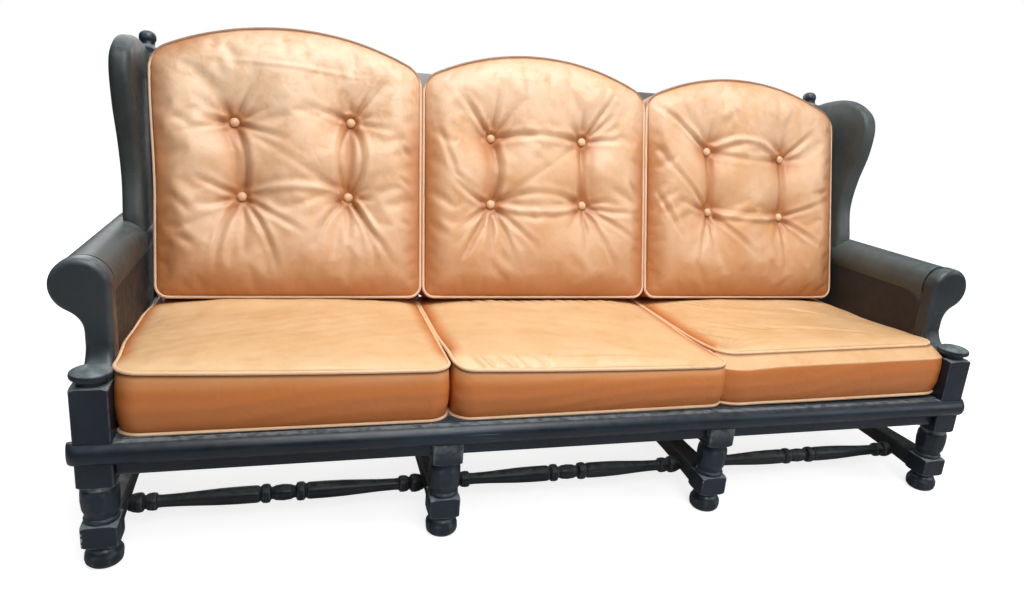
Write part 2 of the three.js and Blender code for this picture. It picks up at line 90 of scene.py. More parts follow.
def make_piece(name, points, faces, material, sharp=40):
    mesh = bpy.data.meshes.new(name)
    mesh.from_pydata((np.asarray(points, dtype=float) * MM).tolist(), [], faces, shade_flat=False)
    work = bmesh.new()
    work.from_mesh(mesh)
    bmesh.ops.recalc_face_normals(work, faces=work.faces)
    work.to_mesh(mesh)
    work.free()
    mesh.materials.append(material)
    if sharp:
        mesh.set_sharp_from_angle(angle=math.radians(sharp))
    piece = bpy.data.objects.new(name, mesh)
    bpy.context.scene.collection.objects.link(piece)
    return piece


def stand_for(piece, slot, *nodes):
    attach(piece, "root")
    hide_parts(*nodes)


def loft(rings):
    """Points and faces of a capped skin over closed rings of equal length."""
    rings = np.asarray(rings, dtype=float)
    count, size = rings.shape[:2]
    faces = []
    for i in range(count - 1):
        for j in range(size):
            k = (j + 1) % size
            faces.append((i * size + j, i * size + k, (i + 1) * size + k, (i + 1) * size + j))
    faces.append(tuple(range(size)))
    faces.append(tuple(range((count - 1) * size, count * size)))
    return rings.reshape(-1, 3), faces


def joined(*shapes):
    """Several closed shapes as one list of points and faces."""
    points = []
    faces = []
    for shape_points, shape_faces in shapes:
        start = sum(len(part) for part in points)
        points.append(np.asarray(shape_points, dtype=float))
        faces += [tuple(start + i for i in face) for face in shape_faces]
    return np.concatenate(points), faces


def box_shape(low, high):
    (x0, y0, z0), (x1, y1, z1) = low, high
    rings = [[(x0, y0, z), (x1, y0, z), (x1, y1, z), (x0, y1, z)] for z in (z0, z1)]
    return loft(rings)


def cut(piece, *shapes):
    """Takes closed shapes away from a piece, for good."""
    cutters = []
    for points, faces in shapes:
        cutter = make_piece("cutter", points, faces, piece.data.materials[0], sharp=None)
        step = piece.modifiers.new("cut", "BOOLEAN")
        step.operation = "DIFFERENCE"
        step.solver = "EXACT"
        step.object = cutter
        cutters.append(cutter)
    bpy.context.view_layer.update()
    seen = piece.evaluated_get(bpy.context.evaluated_depsgraph_get())
    mesh = bpy.data.meshes.new_from_object(seen)
    piece.modifiers.clear()
    piece.data = mesh
    for cutter in cutters:
        bpy.data.objects.remove(cutter)
    mesh.set_sharp_from_angle(angle=math.radians(40))


def curve_through(points, steps):
    """A smooth line through points, with that many steps between two of them."""
    points = np.asarray(points, dtype=float)
    padded = np.concatenate([[2 * points[0] - points[1]], points, [2 * points[-1] - points[-2]]])
    line = []
    for i in range(1, len(padded) - 2):
        a, b, c, d = padded[i - 1:i + 3]
        for t in np.arange(steps) / steps:
            line.append(0.5 * (2 * b + (c - a) * t + (2 * a - 5 * b + 4 * c - d) * t ** 2
                               + (3 * b - a - 3 * c + d) * t ** 3))
    line.append(points[-1])
    return np.array(line)


def eased(points, steps):
    """A turned profile that lies level at each of its points."""
    points = np.asarray(points, dtype=float)
    line = []
    for (z0, r0), (z1, r1) in zip(points[:-1], points[1:]):
        for t in np.arange(steps) / steps:
            line.append((z0 + (z1 - z0) * t, r0 + (r1 - r0) * smooth(t)))
    line.append(tuple(points[-1]))
    return line


def pommel(z0, z1, r0, r1, steps=7):
    """A quarter round from radius r0 at z0 to r1 at z1, steep where it is thin."""
    thin_first = r0 < r1
    line = []
    for t in np.linspace(0, 1, steps):
        s = t if thin_first else 1 - t
        line.append((z0 + (z1 - z0) * t, min(r0, r1) + abs(r1 - r0) * math.sqrt(1 - (1 - s) ** 2)))
    return line


# Angles crowd at the corners, so that a square block has crisp arrises.
corner_steps = np.array([-45, -37, -29, -21, -14, -9, -6, -4, -2, 0, 2, 4, 6, 9, 14, 21, 29, 37])
ring_angles = np.radians(np.concatenate([corner_steps + 45 + 90 * i for i in range(4)]))
square_power = 18
# Sizes beyond every post: a ring of this radius is all square, and one with this half width is all round.
square_only = 100
round_only = 100


def turned_ring(radius, half):
    """A round of that radius, cut square at half where it would stand proud."""
    cos = np.cos(ring_angles)
    sin = np.sin(ring_angles)
    square = half / (np.abs(cos) ** square_power + np.abs(sin) ** square_power) ** (1 / square_power)
    reach = np.minimum(radius, square)
    return reach * cos, reach * sin


def turned_post(profile, half, x, y):
    rings = []
    for z, radius in profile:
        dx, dy = turned_ring(radius, half)
        rings.append(points_of(x + dx, y + dy, z))
    return loft(rings)


# Materials

def node(tree, kind, settings=None, **inputs):
    made = tree.nodes.new("ShaderNode" + kind)
    for key, value in (settings or {}).items():
        setattr(made, key, value)
    for key, value in inputs.items():
        socket = made.inputs[key.replace("_", " ")]
        if isinstance(value, bpy.types.NodeSocket):
            tree.links.new(value, socket)
        else:
            socket.default_value = value
    return made


def place_of(tree):
    return node(tree, "TexCoord").outputs["Object"]


def noise(tree, where, scale, detail=4.0, stretch=(1, 1, 1), distortion=0.0):
    spread = node(tree, "Mapping", Vector=where, Scale=stretch)
    made = node(tree, "TexNoise", Vector=spread.outputs[0], Scale=scale, Detail=detail, Distortion=distortion)
    return made.outputs[0]


def between(tree, value, low, high, start=0.0, end=1.0):
    made = node(tree, "MapRange", {"interpolation_type": "SMOOTHSTEP"}, Value=value)
    made.inputs["From Min"].default_value = low
    made.inputs["From Max"].default_value = high
    made.inputs["To Min"].default_value = start
    made.inputs["To Max"].default_value = end
    return made.outputs[0]


def maths(tree, operation, a, b):
    made = node(tree, "Math", {"operation": operation})
    for socket, value in zip(made.inputs, (a, b)):
        if isinstance(value, bpy.types.NodeSocket):
            tree.links.new(value, socket)
        else:
            socket.default_value = value
    return made.outputs[0]


def times(tree, a, b):
    return maths(tree, "MULTIPLY", a, b)


def mixed(tree, amount, first, second):
    made = node(tree, "Mix", {"data_type": "RGBA"})
    tree.links.new(amount, made.inputs[0])
    for socket, value in ((made.inputs[6], first), (made.inputs[7], second)):
        if isinstance(value, bpy.types.NodeSocket):
            tree.links.new(value, socket)
        else:
            socket.default_value = (*value, 1)
    return made.outputs[2]


def bump(tree, height, strength, distance, below=None):
    made = node(tree, "Bump", Height=height, Strength=strength, Distance=distance)
    if below is not None:
        tree.links.new(below, made.inputs["Normal"])
    return made.outputs[0]


def new_material(name):
    material = bpy.data.materials.new(name)
    material.use_nodes = True
    tree = material.node_tree
    return material, tree, tree.nodes["Principled BSDF"]


def near_spots(tree, where, spots, ragged):
    """1 on ragged patches round the given (x, y, z, radius) spots, in metres."""
    total = None
    for x, y, z, radius in spots:
        away = node(tree, "VectorMath", {"operation": "DISTANCE"})
        tree.links.new(where, away.inputs[0])
        away.inputs[1].default_value = (x, y, z)
        rough_away = maths(tree, "ADD", away.outputs["Value"], times(tree, ragged, radius))
        spot = between(tree, rough_away, radius * 1.25, radius * 1.1)
        total = spot if total is None else maths(tree, "MAXIMUM", total, spot)
    return total


rubbed_and_highlit_grey = (0.17, 0.2, 0.21)
dust_and_sheen_grey = (0.24, 0.29, 0.3)
scratch_grey = (0.2, 0.22, 0.23)
bare_wood = (0.42, 0.37, 0.29)


def paint(name, dark, light, dust_and_sheen=0.5, chips=(), gloss=(0.3, 0.46), edge_wear_and_highlight=1.0):
    """Black satin paint: brushed on, scratched and chipped, rubbed grey at the edges and dusty on top, the
    grey edges also a painted highlight and the dusty tops also a painted sheen.
    """
    material, tree, shader = new_material(name)
    where = place_of(tree)
    geometry = node(tree, "NewGeometry")
    broad = noise(tree, where, 4.5, 5)
    fine = noise(tree, where, 55, 4)
    ragged = noise(tree, where, 160, 3)
    grain = noise(tree, where, 30, 4, (1, 1, 0.12))
    scored = noise(tree, where, 6, 2, (1, 40, 40))
    colour = mixed(tree, between(tree, broad, 0.32, 0.68), dark, light)
    pointed = geometry.outputs["Pointiness"]
    patchy = between(tree, fine, 0.3, 0.62, 0.15 * edge_wear_and_highlight, 0.85 * edge_wear_and_highlight)
    # Painted highlight, with wear: pointed edges are painted rubbed grey.
    edge = times(tree, between(tree, pointed, 0.512, 0.57), patchy)
    colour = mixed(tree, edge, colour, rubbed_and_highlit_grey)
    # Painted sheen, with dust: faces that look up are painted a lighter bluish grey.
    up = node(tree, "SeparateXYZ", Vector=geometry.outputs["Normal"]).outputs[2]
    settled = times(tree, between(tree, up, 0.35, 0.95), between(tree, fine, 0.35, 0.7, 0.5 * dust_and_sheen, dust_and_sheen))
    colour = mixed(tree, settled, colour, dust_and_sheen_grey)
    scratch = times(tree, between(tree, scored, 0.7, 0.74), between(tree, broad, 0.5, 0.6, 0.0, 0.35))
    colour = mixed(tree, scratch, colour, scratch_grey)
    bare = times(tree, between(tree, pointed, 0.56, 0.6), between(tree, ragged, 0.66, 0.7, 0.0, edge_wear_and_highlight))
    if chips:
        bare = maths(tree, "MAXIMUM", bare, near_spots(tree, where, chips, ragged))
    colour = mixed(tree, bare, colour, bare_wood)
    tree.links.new(colour, shader.inputs["Base Color"])
    tree.links.new(between(tree, fine, 0.25, 0.75, *gloss), shader.inputs["Roughness"])
    shader.inputs["Specular IOR Level"].default_value = 0.4
    brushed = bump(tree, grain, 0.1, 0.0012)
    tree.links.new(bump(tree, ragged, 0.06, 0.0005, brushed), shader.inputs["Normal"])
    return material


def leather(name, unfaded_shade_tone, deep, main, pale, gloss, shine=0.5):
    """Worn tan leather: mottled, darker in its creases and seams, painted paler by wear and painted
    highlight, a deeper orange under painted shade and where it is unfaded, with a pebbled grain and fine
    crinkles.
    """
    material, tree, shader = new_material(name)
    where = place_of(tree)
    mottle = noise(tree, where, 9, 6)
    blotch = noise(tree, where, 2.6, 4)
    handled = noise(tree, where, 34, 5, distortion=0.6)
    crease = node(tree, "Attribute", {"attribute_name": "crease"}).outputs["Fac"]
    # Paleness from wear and painted highlight comes as a vertex value.
    worn_and_highlit = node(tree, "Attribute", {"attribute_name": "worn_and_highlit"}).outputs["Fac"]
    # A deeper orange from painted shade, partly unfaded leather, comes as a vertex value.
    shaded_unfaded = node(tree, "Attribute", {"attribute_name": "shaded_unfaded"}).outputs["Fac"]
    colour = mixed(tree, between(tree, mottle, 0.3, 0.7, 0.0, 0.5), main, pale)
    colour = mixed(tree, between(tree, blotch, 0.48, 0.72, 0.0, 0.4), colour, deep)
    colour = mixed(tree, between(tree, handled, 0.52, 0.75, 0.0, 0.22), colour, deep)
    faded_and_highlit = times(tree, worn_and_highlit, between(tree, handled, 0.3, 0.6, 0.3, 0.8))
    colour = mixed(tree, faded_and_highlit, colour, pale)
    colour = mixed(tree, times(tree, shaded_unfaded, 0.95), colour, unfaded_shade_tone)
    crease_dark = (0.34 * deep[0], 0.24 * deep[1], 0.16 * deep[2])
    colour = mixed(tree, times(tree, crease, 0.85), colour, crease_dark)
    tree.links.new(colour, shader.inputs["Base Color"])
    tree.links.new(between(tree, handled, 0.3, 0.7, *gloss), shader.inputs["Roughness"])
    cells = node(tree, "TexVoronoi", {"feature": "DISTANCE_TO_EDGE"}, Vector=where, Scale=430.0).outputs[0]
    pebbled = bump(tree, between(tree, cells, 0.0, 0.12), 0.06, 0.0003)
    wander = node(tree, "TexNoise", Vector=where, Scale=14.0, Detail=3.0).outputs[1]
    wander = node(tree, "VectorMath", {"operation": "SCALE"}, Vector=wander, Scale=0.05).outputs[0]
    astray = node(tree, "VectorMath", {"operation": "ADD"})
    tree.links.new(where, astray.inputs[0])
    tree.links.new(wander, astray.inputs[1])
    network = node(tree, "TexVoronoi", {"feature": "DISTANCE_TO_EDGE"}, Vector=astray.outputs[0], Scale=24.0)
    crinkle = between(tree, network.outputs[0], 0.0, 0.16)
    handling = between(tree, blotch, 0.4, 0.65, 0.08, 0.18)
    crinkled = bump(tree, times(tree, crinkle, handling), 0.6, 0.0022, pebbled)
    wrinkled = bump(tree, noise(tree, where, 48, 4, distortion=0.7), 0.16, 0.0016, crinkled)
    shader.inputs["Specular IOR Level"].default_value = shine
    tree.links.new(bump(tree, mottle, 0.2, 0.006, wrinkled), shader.inputs["Normal"])
    return material


def webbing_cloth(name):
    """Woven jute, in a plain weave."""
    material, tree, shader = new_material(name)
    where = place_of(tree)
    threads = []
    for direction in ("X", "Y"):
        bands = {"bands_direction": direction}
        wave = node(tree, "TexWave", bands, Vector=where, Scale=170.0, Distortion=0.8)
        threads.append(wave.outputs[1])
    weave = times(tree, *threads)
    fibre = noise(tree, where, 300, 3)
    colour = mixed(tree, weave, (0.13, 0.09, 0.05), (0.34, 0.26, 0.16))
    colour = mixed(tree, between(tree, fibre, 0.4, 0.7, 0.0, 0.5), colour, (0.2, 0.16, 0.1))
    tree.links.new(colour, shader.inputs["Base Color"])
    tree.links.new(between(tree, fibre, 0.2, 0.8, 0.8, 0.95), shader.inputs["Roughness"])
    tree.links.new(bump(tree, weave, 0.5, 0.001), shader.inputs["Normal"])
    return material


blue_black = (0.004, 0.0075, 0.0145)
slate = (0.011, 0.02, 0.034)
brown_black = (0.013, 0.011, 0.011)
# Chips in the paint as (x, y, z, radius) in metres.
wood_chips = (
    (-0.9885, -0.3805, 0.066, 0.007), (-0.9885, -0.379, 0.055, 0.006), (-0.987, -0.3805, 0.078, 0.004),
    (0.285, -0.3805, 0.083, 0.003),
)
frame_paint = paint("frame_paint", blue_black, slate)
# The turned posts and legs get the most painted sheen and dust on their upward faces.
post_paint = paint("post_paint", blue_black, slate, dust_and_sheen=0.8, chips=wood_chips)
rail_paint = paint("rail_paint", blue_black, slate, dust_and_sheen=0.1)
arm_paint = paint("arm_paint", (0.013, 0.017, 0.022), (0.032, 0.039, 0.045), dust_and_sheen=0.5)
inner_paint = paint("inner_paint", brown_black, (0.022, 0.021, 0.022), dust_and_sheen=0.1, gloss=(0.5, 0.66))
# A lighter grey-green paint for the wings, arm rolls and side stretchers: a painted sheen on faces that catch
# the light.
sheen_grey_look = {"dust_and_sheen": 0.35, "gloss": (0.4, 0.56), "edge_wear_and_highlight": 0.1}
sheen_grey_paint = paint("sheen_grey_paint", (0.021, 0.026, 0.028), (0.05, 0.058, 0.057), **sheen_grey_look)
# A lighter copy for the right arm and wing: painted light, for the stronger light that side catches.
lit_sheen_grey_paint = paint("lit_sheen_grey_paint", (0.032, 0.041, 0.043), (0.076, 0.09, 0.088), **sheen_grey_look)
arm_side_paint = {"left": sheen_grey_paint, "right": lit_sheen_grey_paint}
# The top back rail is painted pale grey: painted light, for the light it catches between the back cushions.
pale_lit_paint = paint("pale_lit_paint", (0.12, 0.13, 0.135), (0.3, 0.32, 0.32), dust_and_sheen=0.6)
low_paint = paint("low_paint", blue_black, (0.024, 0.027, 0.03), dust_and_sheen=0.55)
back_leather = leather(
    "back_leather", unfaded_shade_tone=(0.47, 0.165, 0.045), deep=(0.5, 0.22, 0.085), main=(0.66, 0.345, 0.155),
    pale=(0.86, 0.62, 0.43), gloss=(0.34, 0.5),
)
seat_leather = leather(
    "seat_leather", unfaded_shade_tone=(0.57, 0.165, 0.032), deep=(0.57, 0.26, 0.09), main=(0.71, 0.42, 0.19),
    pale=(0.82, 0.57, 0.33), gloss=(0.32, 0.46),
)
back_piping = leather(
    "back_piping", unfaded_shade_tone=(0.5, 0.24, 0.12), deep=(0.5, 0.27, 0.15), main=(0.72, 0.45, 0.29),
    pale=(0.84, 0.6, 0.44), gloss=(0.42, 0.55), shine=0.25,
)
seat_piping = leather(
    "seat_piping", unfaded_shade_tone=(0.5, 0.2, 0.07), deep=(0.5, 0.23, 0.1), main=(0.78, 0.47, 0.25),
    pale=(0.9, 0.64, 0.42), gloss=(0.42, 0.55), shine=0.2,
)
jute = webbing_cloth("jute")


# Turned and shaped frame pieces

# Turned profiles are (height, radius) pairs.
block_round = 44.8
foot_line = eased([(0, 24), (3, 29), (8, 33), (16, 34.5), (24, 34), (33, 29.5), (40, 24.5), (46, 24)], 3)
vase_line = eased(
    [(92, 28.5), (94, 30.5), (98, 31), (104, 28), (120, 32.6), (136, 34), (152, 33.6), (168, 28.5)], 4)


def block_line(z0, z1):
    thin = leg_half - 3
    return pommel(z0, z0 + 8, thin, block_round) + pommel(z1 - 8, z1, block_round, thin)


def leg_line(top):
    return foot_line + block_line(46, 92) + vase_line + block_line(168, top)


post_top = 361
cap_edge = [(371, 31), (372.5, 34), (376, 35.5), (380, 35.3), (384, 33), (388, 24), (390.4, 12), (391, 0.2)]
cap_line = [(post_top, 25), (371, 25)] + curve_through(cap_edge, 3).tolist()


def front_posts():
    for side, sign in side_sign.items():
        x = sign * outer_x
        block = turned_post(leg_line(post_top), leg_half, x, leg_y)
        cap = turned_post(cap_line, round_only, x, leg_y)
        post = make_piece(f"turned_front_post_{side}", *joined(block, cap), post_paint)
        stand_for(post, "frame_paint", f"front_post_{side}")


def middle_legs():
    for side, sign in side_sign.items():
        x = sign * inner_x
        shape = turned_post(leg_line(257), leg_half, x, leg_y)
        leg = make_piece(f"turned_middle_leg_{side}", *shape, post_paint)
        rail = box_shape((x - 80, nose + 31 - gap, 186 - gap), (x + 80, nose + 59 + gap, 400))
        above = box_shape((x - 80, nose - 40, 215 - gap), (x + 80, nose + 150, 400))
        cut(leg, rail, above)
        stand_for(leg, "frame_paint", f"front_leg_middle_{side}")


def front_moulding():
    radius = 21
    depth = 31 - gap
    half = 1000
    turns = np.radians(np.linspace(-90, 90, 29))
    out = np.append(radius - radius * np.cos(turns), [depth, depth])
    high = np.append(radius * np.sin(turns), [radius, -radius])
    ends = [(half - radius + radius * math.sin(a), 1 - math.cos(a))
            for a in np.radians(np.linspace(0, 90, 12))]
    stations = [(-x, round_off) for x, round_off in reversed(ends)] + ends
    rings = []
    for x, round_off in stations:
        front = radius * round_off
        y = nose + front + out * (depth - front) / depth
        z = 236 + high * (1 - 0.1 * round_off ** 2)
        rings.append(points_of(x, y, z))
    moulding = make_piece("rounded_front_moulding", *loft(rings), rail_paint)
    notches = []
    for x in (-outer_x, outer_x):
        reach = leg_half + gap
        notches.append(box_shape((x - reach, leg_y - reach, 180), (x + reach, nose + 80, 300)))
    cut(moulding, *notches)
    stand_for(moulding, "frame_paint", "front_moulding")


# Beads of a stretcher as (distance, radius): from its middle, and from its end.
middle_beads = [(0, 17), (12, 16), (24, 12.5), (28, 19), (34, 20), (40, 19.5), (46, 15), (50, 17.5), (56, 18),
                (90, 18)]
end_beads = [(63, 12.5), (55, 13), (51, 17.5), (44, 18), (37, 17), (31, 13.5), (25, 19.5), (18, 20), (12, 19),
             (0, 15)]
stretcher_y = nose + 142
stretcher_z = 62


def turned_stretchers():
    spans = {"left": (-931.7, -341.3), "middle": (-290.7, 290.7), "right": (341.3, 931.7)}
    turns = full_turn(36)
    for name, (x0, x1) in spans.items():
        half = (x1 - x0) / 2
        one_side = middle_beads + [(half - away, radius) for away, radius in end_beads]
        whole = [(-along, radius) for along, radius in reversed(one_side[1:])] + one_side
        rings = []
        for along, radius in eased(whole, 4):
            y = stretcher_y + radius * np.cos(turns)
            z = stretcher_z + radius * np.sin(turns)
            rings.append(points_of((x0 + x1) / 2 + along, y, z))
        bar = make_piece(f"beaded_stretcher_{name}", *loft(rings), low_paint)
        stand_for(bar, "frame_paint", f"turned_stretcher_{name}")


def inset(outline, amount):
    """A closed outline moved inwards."""
    before = np.roll(outline, 1, axis=0)
    after = np.roll(outline, -1, axis=0)
    first = (outline - before) / np.linalg.norm(outline - before, axis=1, keepdims=True)
    second = (after - outline) / np.linalg.norm(after - outline, axis=1, keepdims=True)
    along = first + second
    along /= np.linalg.norm(along, axis=1, keepdims=True)
    inward = np.stack([-along[:, 1], along[:, 0]], axis=1)
    x, y = outline[:, 0], outline[:, 1]
    area = np.sum(x * np.roll(y, -1) - np.roll(x, -1) * y)
    lengthen = 1 / np.maximum(np.sum(first * along, axis=1), 0.5)
    return outline + inward * (np.sign(area) * amount * lengthen)[:, None]


def rounded_board(outline, low, high, bevel, steps=6):
    """Rings of an outline from low to high, with quarter-round edges, as (outline, depth) pairs."""
    rings = []
    for angle in np.radians(np.linspace(90, 0, steps)):
        rings.append((inset(outline, bevel * (1 - math.cos(angle))), low + bevel * (1 - math.sin(angle))))
    for angle in np.radians(np.linspace(0, 90, steps)):
        rings.append((inset(outline, bevel * (1 - math.cos(angle))), high - bevel * (1 - math.sin(angle))))
    return rings


scroll_x = 984
scroll_z = 515
scroll_radius = 52
roll_radius = 50
arm_face = nose + 114
arm_thick = 46
arm_foot = 362 + gap


def scroll_outline():
    """The arm board's outline in (x, z): up its inner side, over the scroll and down its neck."""
    inner = [(932, z) for z in np.linspace(arm_foot, scroll_z, 12, endpoint=False)]
    turn = [(scroll_x + scroll_radius * math.cos(a), scroll_z + scroll_radius * math.sin(a))
            for a in np.linspace(math.pi, math.radians(-62), 44)]
    start = np.array(turn[-1])
    bend = np.array([982, 455])
    stop = np.array([982, 428])
    neck = [(1 - t) ** 2 * start + 2 * t * (1 - t) * bend + t * t * stop for t in np.linspace(0, 1, 12)[1:]]
    stem = [(982, z) for z in np.linspace(428, arm_foot, 8)[1:]]
    return np.array([tuple(point) for point in inner + turn + neck + stem])


def arm_fronts():
    outline = scroll_outline()
    cove_front = leg_y + leg_half + gap
    cove_deep = arm_face + 1.2 - cove_front
    cove_high = 52
    cove_top = arm_foot + 7 + cove_high
    corner = 12.6
    sweep = [(cove_front + cove_deep * math.cos(a), cove_top + cove_high * math.sin(a))
             for a in np.linspace(-math.pi / 2, 0, 18)]
    for side, sign in side_sign.items():
        board = [points_of(sign * edge[:, 0], y, edge[:, 1])
                 for edge, y in rounded_board(outline, arm_face, arm_face + arm_thick, 13)]
        cove = []
        for y, z in [(cove_front, arm_foot)] + sweep:
            front = arc(945, y + 13, corner, 180, 270, 7) + arc(969, y + 13, corner, 270, 360, 7)
            back = [(981.6, arm_face + 20), (932.4, arm_face + 20)]
            cove.append([(sign * px, py, z) for px, py in front + back])
        arm = make_piece(f"scrolled_arm_front_{side}", *joined(loft(board), loft(cove)), arm_paint)
        stand_for(arm, "frame_paint", f"arm_front_{side}")


def post_front(z):
    """How far back the front of the leaning back post is at a height."""
    return knee[1] - post_half - gap + (z - knee[2]) * math.tan(lean)


def arm_rolls():
    turns = full_turn(64)
    start = arm_face + arm_thick + gap
    for side, sign in side_sign.items():
        rings = []
        for t in np.linspace(0, 1, 14):
            x = sign * (scroll_x + roll_radius * np.cos(turns))
            z = scroll_z + roll_radius * np.sin(turns)
            rings.append(points_of(x, start + t * (post_front(z) - start), z))
        roll = make_piece(f"smooth_arm_roll_{side}", *loft(rings), arm_side_paint[side])
        stand_for(roll, "frame_paint", f"arm_roll_{side}")


# The wing's front and top edge as (distance from the front, height).
wing_edge = [(494, 573), (517, 655), (511, 735), (491, 816), (491, 893), (523, 937), (597, 964), (682, 957),
             (760, 935)]
wing_low = 510


def wings():
    edge = curve_through(wing_edge, 9)
    (front, front_low), (rear, rear_high) = wing_edge[0], wing_edge[-1]
    heel = rear + 30
    foot = [(front, z) for z in np.linspace(wing_low, front_low, 5, endpoint=False)]
    steps = np.linspace(0, 1, 8)[1:]
    base = [(rear + (heel - rear) * t, rear_high - (rear_high - wing_low) * t) for t in steps]
    under = [(heel - (heel - front) * t, wing_low) for t in steps[:-1]]
    outline = np.concatenate([foot, edge, base, under])
    outline[:, 0] += nose
    turns = full_turn(64)
    snug = roll_radius + 0.4
    for side, sign in side_sign.items():
        rings = []
        for ring, x in rounded_board(outline, 940, 984, 15):
            shift = 0.03 * (ring[:, 1] - scroll_z - scroll_radius)
            rings.append(points_of(sign * (x + shift), ring[:, 0], ring[:, 1]))
        wing = make_piece(f"rounded_wing_{side}", *loft(rings), arm_side_paint[side])
        roll_x = sign * (scroll_x + snug * np.cos(turns))
        roll = [points_of(roll_x, y, scroll_z + snug * np.sin(turns)) for y in (-300, 500)]
        behind = [[(x, post_front(400), 400), (x, 900, 400), (x, 900, 1100), (x, post_front(1100), 1100)]
                  for x in (sign * 900, sign * 1040)]
        cut(wing, loft(roll), loft(behind))
        stand_for(wing, "frame_paint", f"wing_{side}")


def back_posts():
    axis = np.array([0, math.sin(lean), math.cos(lean)])
    length = 715 / math.cos(lean)
    heel = np.array([0, nose + 650, 0])
    finial = [(-12, 21), (-9, 18.5), (-5, 17), (3, 17), (5, 18.6), (8, 19.8), (12, 20), (18, 19.4),
              (23, 16.5), (26.5, 12), (28.4, 6), (29, 0.2)]
    for side, sign in side_sign.items():
        rings = []
        for t in (0, 0.5, 0.96):
            dx, dy = turned_ring(square_only, post_half)
            centre = heel + t * (knee - heel)
            rings.append(points_of(dx, centre[1] + dy, centre[2]))
        shaft = [(s, square_only) for s in np.linspace(14, length - 34, 10)]
        shoulder = [(length + s, r) for s, r in pommel(-34, -12, 34.5, 21, 8)]
        knob = [(length + s, r) for s, r in finial]
        for s, radius in shaft + shoulder + knob:
            dx, dy = turned_ring(radius, post_half)
            tilt = lean * smooth((s - length + 60) / 48)
            centre = knee + s * axis
            rings.append(points_of(dx, centre[1] + dy * math.cos(tilt), centre[2] - dy * math.sin(tilt)))
        rings = [ring + [sign * outer_x, 0, 0] for ring in rings]
        post = make_piece(f"shaped_back_post_{side}", *loft(rings), frame_paint)
        stand_for(post, "frame_paint", f"back_post_{side}")


plain_boards = {
    "front_rail": rail_paint, "back_seat_rail": low_paint, "back_top_rail": pale_lit_paint,
    "back_slats_middle": frame_paint,
}
paired_boards = {
    "side_rail": frame_paint, "cross_rail": low_paint, "back_leg_middle": low_paint,
    "side_stretcher_outer": sheen_grey_paint, "side_stretcher_inner": sheen_grey_paint, "arm_panel": inner_paint,
    "back_stile": frame_paint, "back_slats": frame_paint,
}
for board_name, board_look in paired_boards.items():
    for board_side in side_sign:
        plain_boards[f"{board_name}_{board_side}"] = board_look


def finish_boards():
    """The straight boards keep their own solids, with softened arrises."""
    for name, material in plain_boards.items():
        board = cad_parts[name]
        board.data.materials.clear()
        board.data.materials.append(material)
        weld = board.modifiers.new("weld", "WELD")
        weld.merge_threshold = 0.00002
        divide = board.modifiers.new("divide", "SUBSURF")
        divide.subdivision_type = "SIMPLE"
        divide.levels = divide.render_levels = 4 if len(board.data.polygons) < 60 else 2
        soften = board.modifiers.new("soften", "BEVEL")
        soften.width = 0.0025
        soften.segments = 2
        soften.limit_method = "ANGLE"
        soften.angle_limit = math.radians(30)


def strap(start, stop, width, bed, wave, count=60):
    """A ribbon from start to stop that passes over and under, as a closed shape."""
    start = np.array(start, dtype=float)
    stop = np.array(stop, dtype=float)
    along = (stop - start) / np.linalg.norm(stop - start)
    across = np.array([-along[1], along[0]])
    rings = []
    for t in np.linspace(0, 1, count):
        middle = start + t * (stop - start)
        z = bed + wave(t)
        corners = [(-1, -0.75), (1, -0.75), (1, 0.75), (-1, 0.75)]
        rings.append([(*(middle + across * side * width / 2), z + up) for side, up in corners])
    return loft(rings)


def woven(sign, waves):
    """How a strap passes over and under the ones that cross it."""
    return lambda t: sign * 0.95 * math.sin(waves * math.pi * t)


def seat_webbing():
    bays = {"left": (-933.7, -341.3), "middle": (-290.7, 290.7), "right": (341.3, 933.7)}
    front, back = nose + 59 + gap, nose + 563 - gap
    bed = 256.7
    width = 80
    for name, (x0, x1) in bays.items():
        shapes = []
        for i in range(3):
            x = x0 + (x1 - x0) * (i + 0.5) / 3
            shapes.append(strap((x, front), (x, back), width, bed, woven((-1) ** i, 2)))
        for i in range(2):
            y = front + (back - front) * (i + 0.5) / 2
            shapes.append(strap((x0, y), (x1, y), width, bed, woven((-1) ** (i + 1), 3)))
        web = make_piece(f"woven_webbing_{name}", *joined(*shapes), jute)
        stand_for(web, "webbing", f"seat_webbing_{name}")


# Cushions

cushion_width = 604
seat_width = 611
seat_depth = 521
piping = 4
piping_out = 1.2


def arc(cx, cy, radius, start, stop, steps=20):
    return [(cx + radius * math.cos(a), cy + radius * math.sin(a))
            for a in np.radians(np.linspace(start, stop, steps))]


def seat_edges():
    radius, rear = 42, 14
    x, far_x = seat_width / 2 - radius, seat_width / 2 - rear
    low, high = radius, seat_depth - rear
    return {
        "bottom": arc(-x, low, radius, 225, 270) + arc(x, low, radius, 270, 315),
        "right": arc(x, low, radius, -45, 0) + arc(far_x, high, rear, 0, 45),
        "top": arc(-far_x, high, rear, 135, 90) + arc(far_x, high, rear, 90, 45),
        "left": arc(-x, low, radius, 225, 180) + arc(-far_x, high, rear, 180, 135),
    }


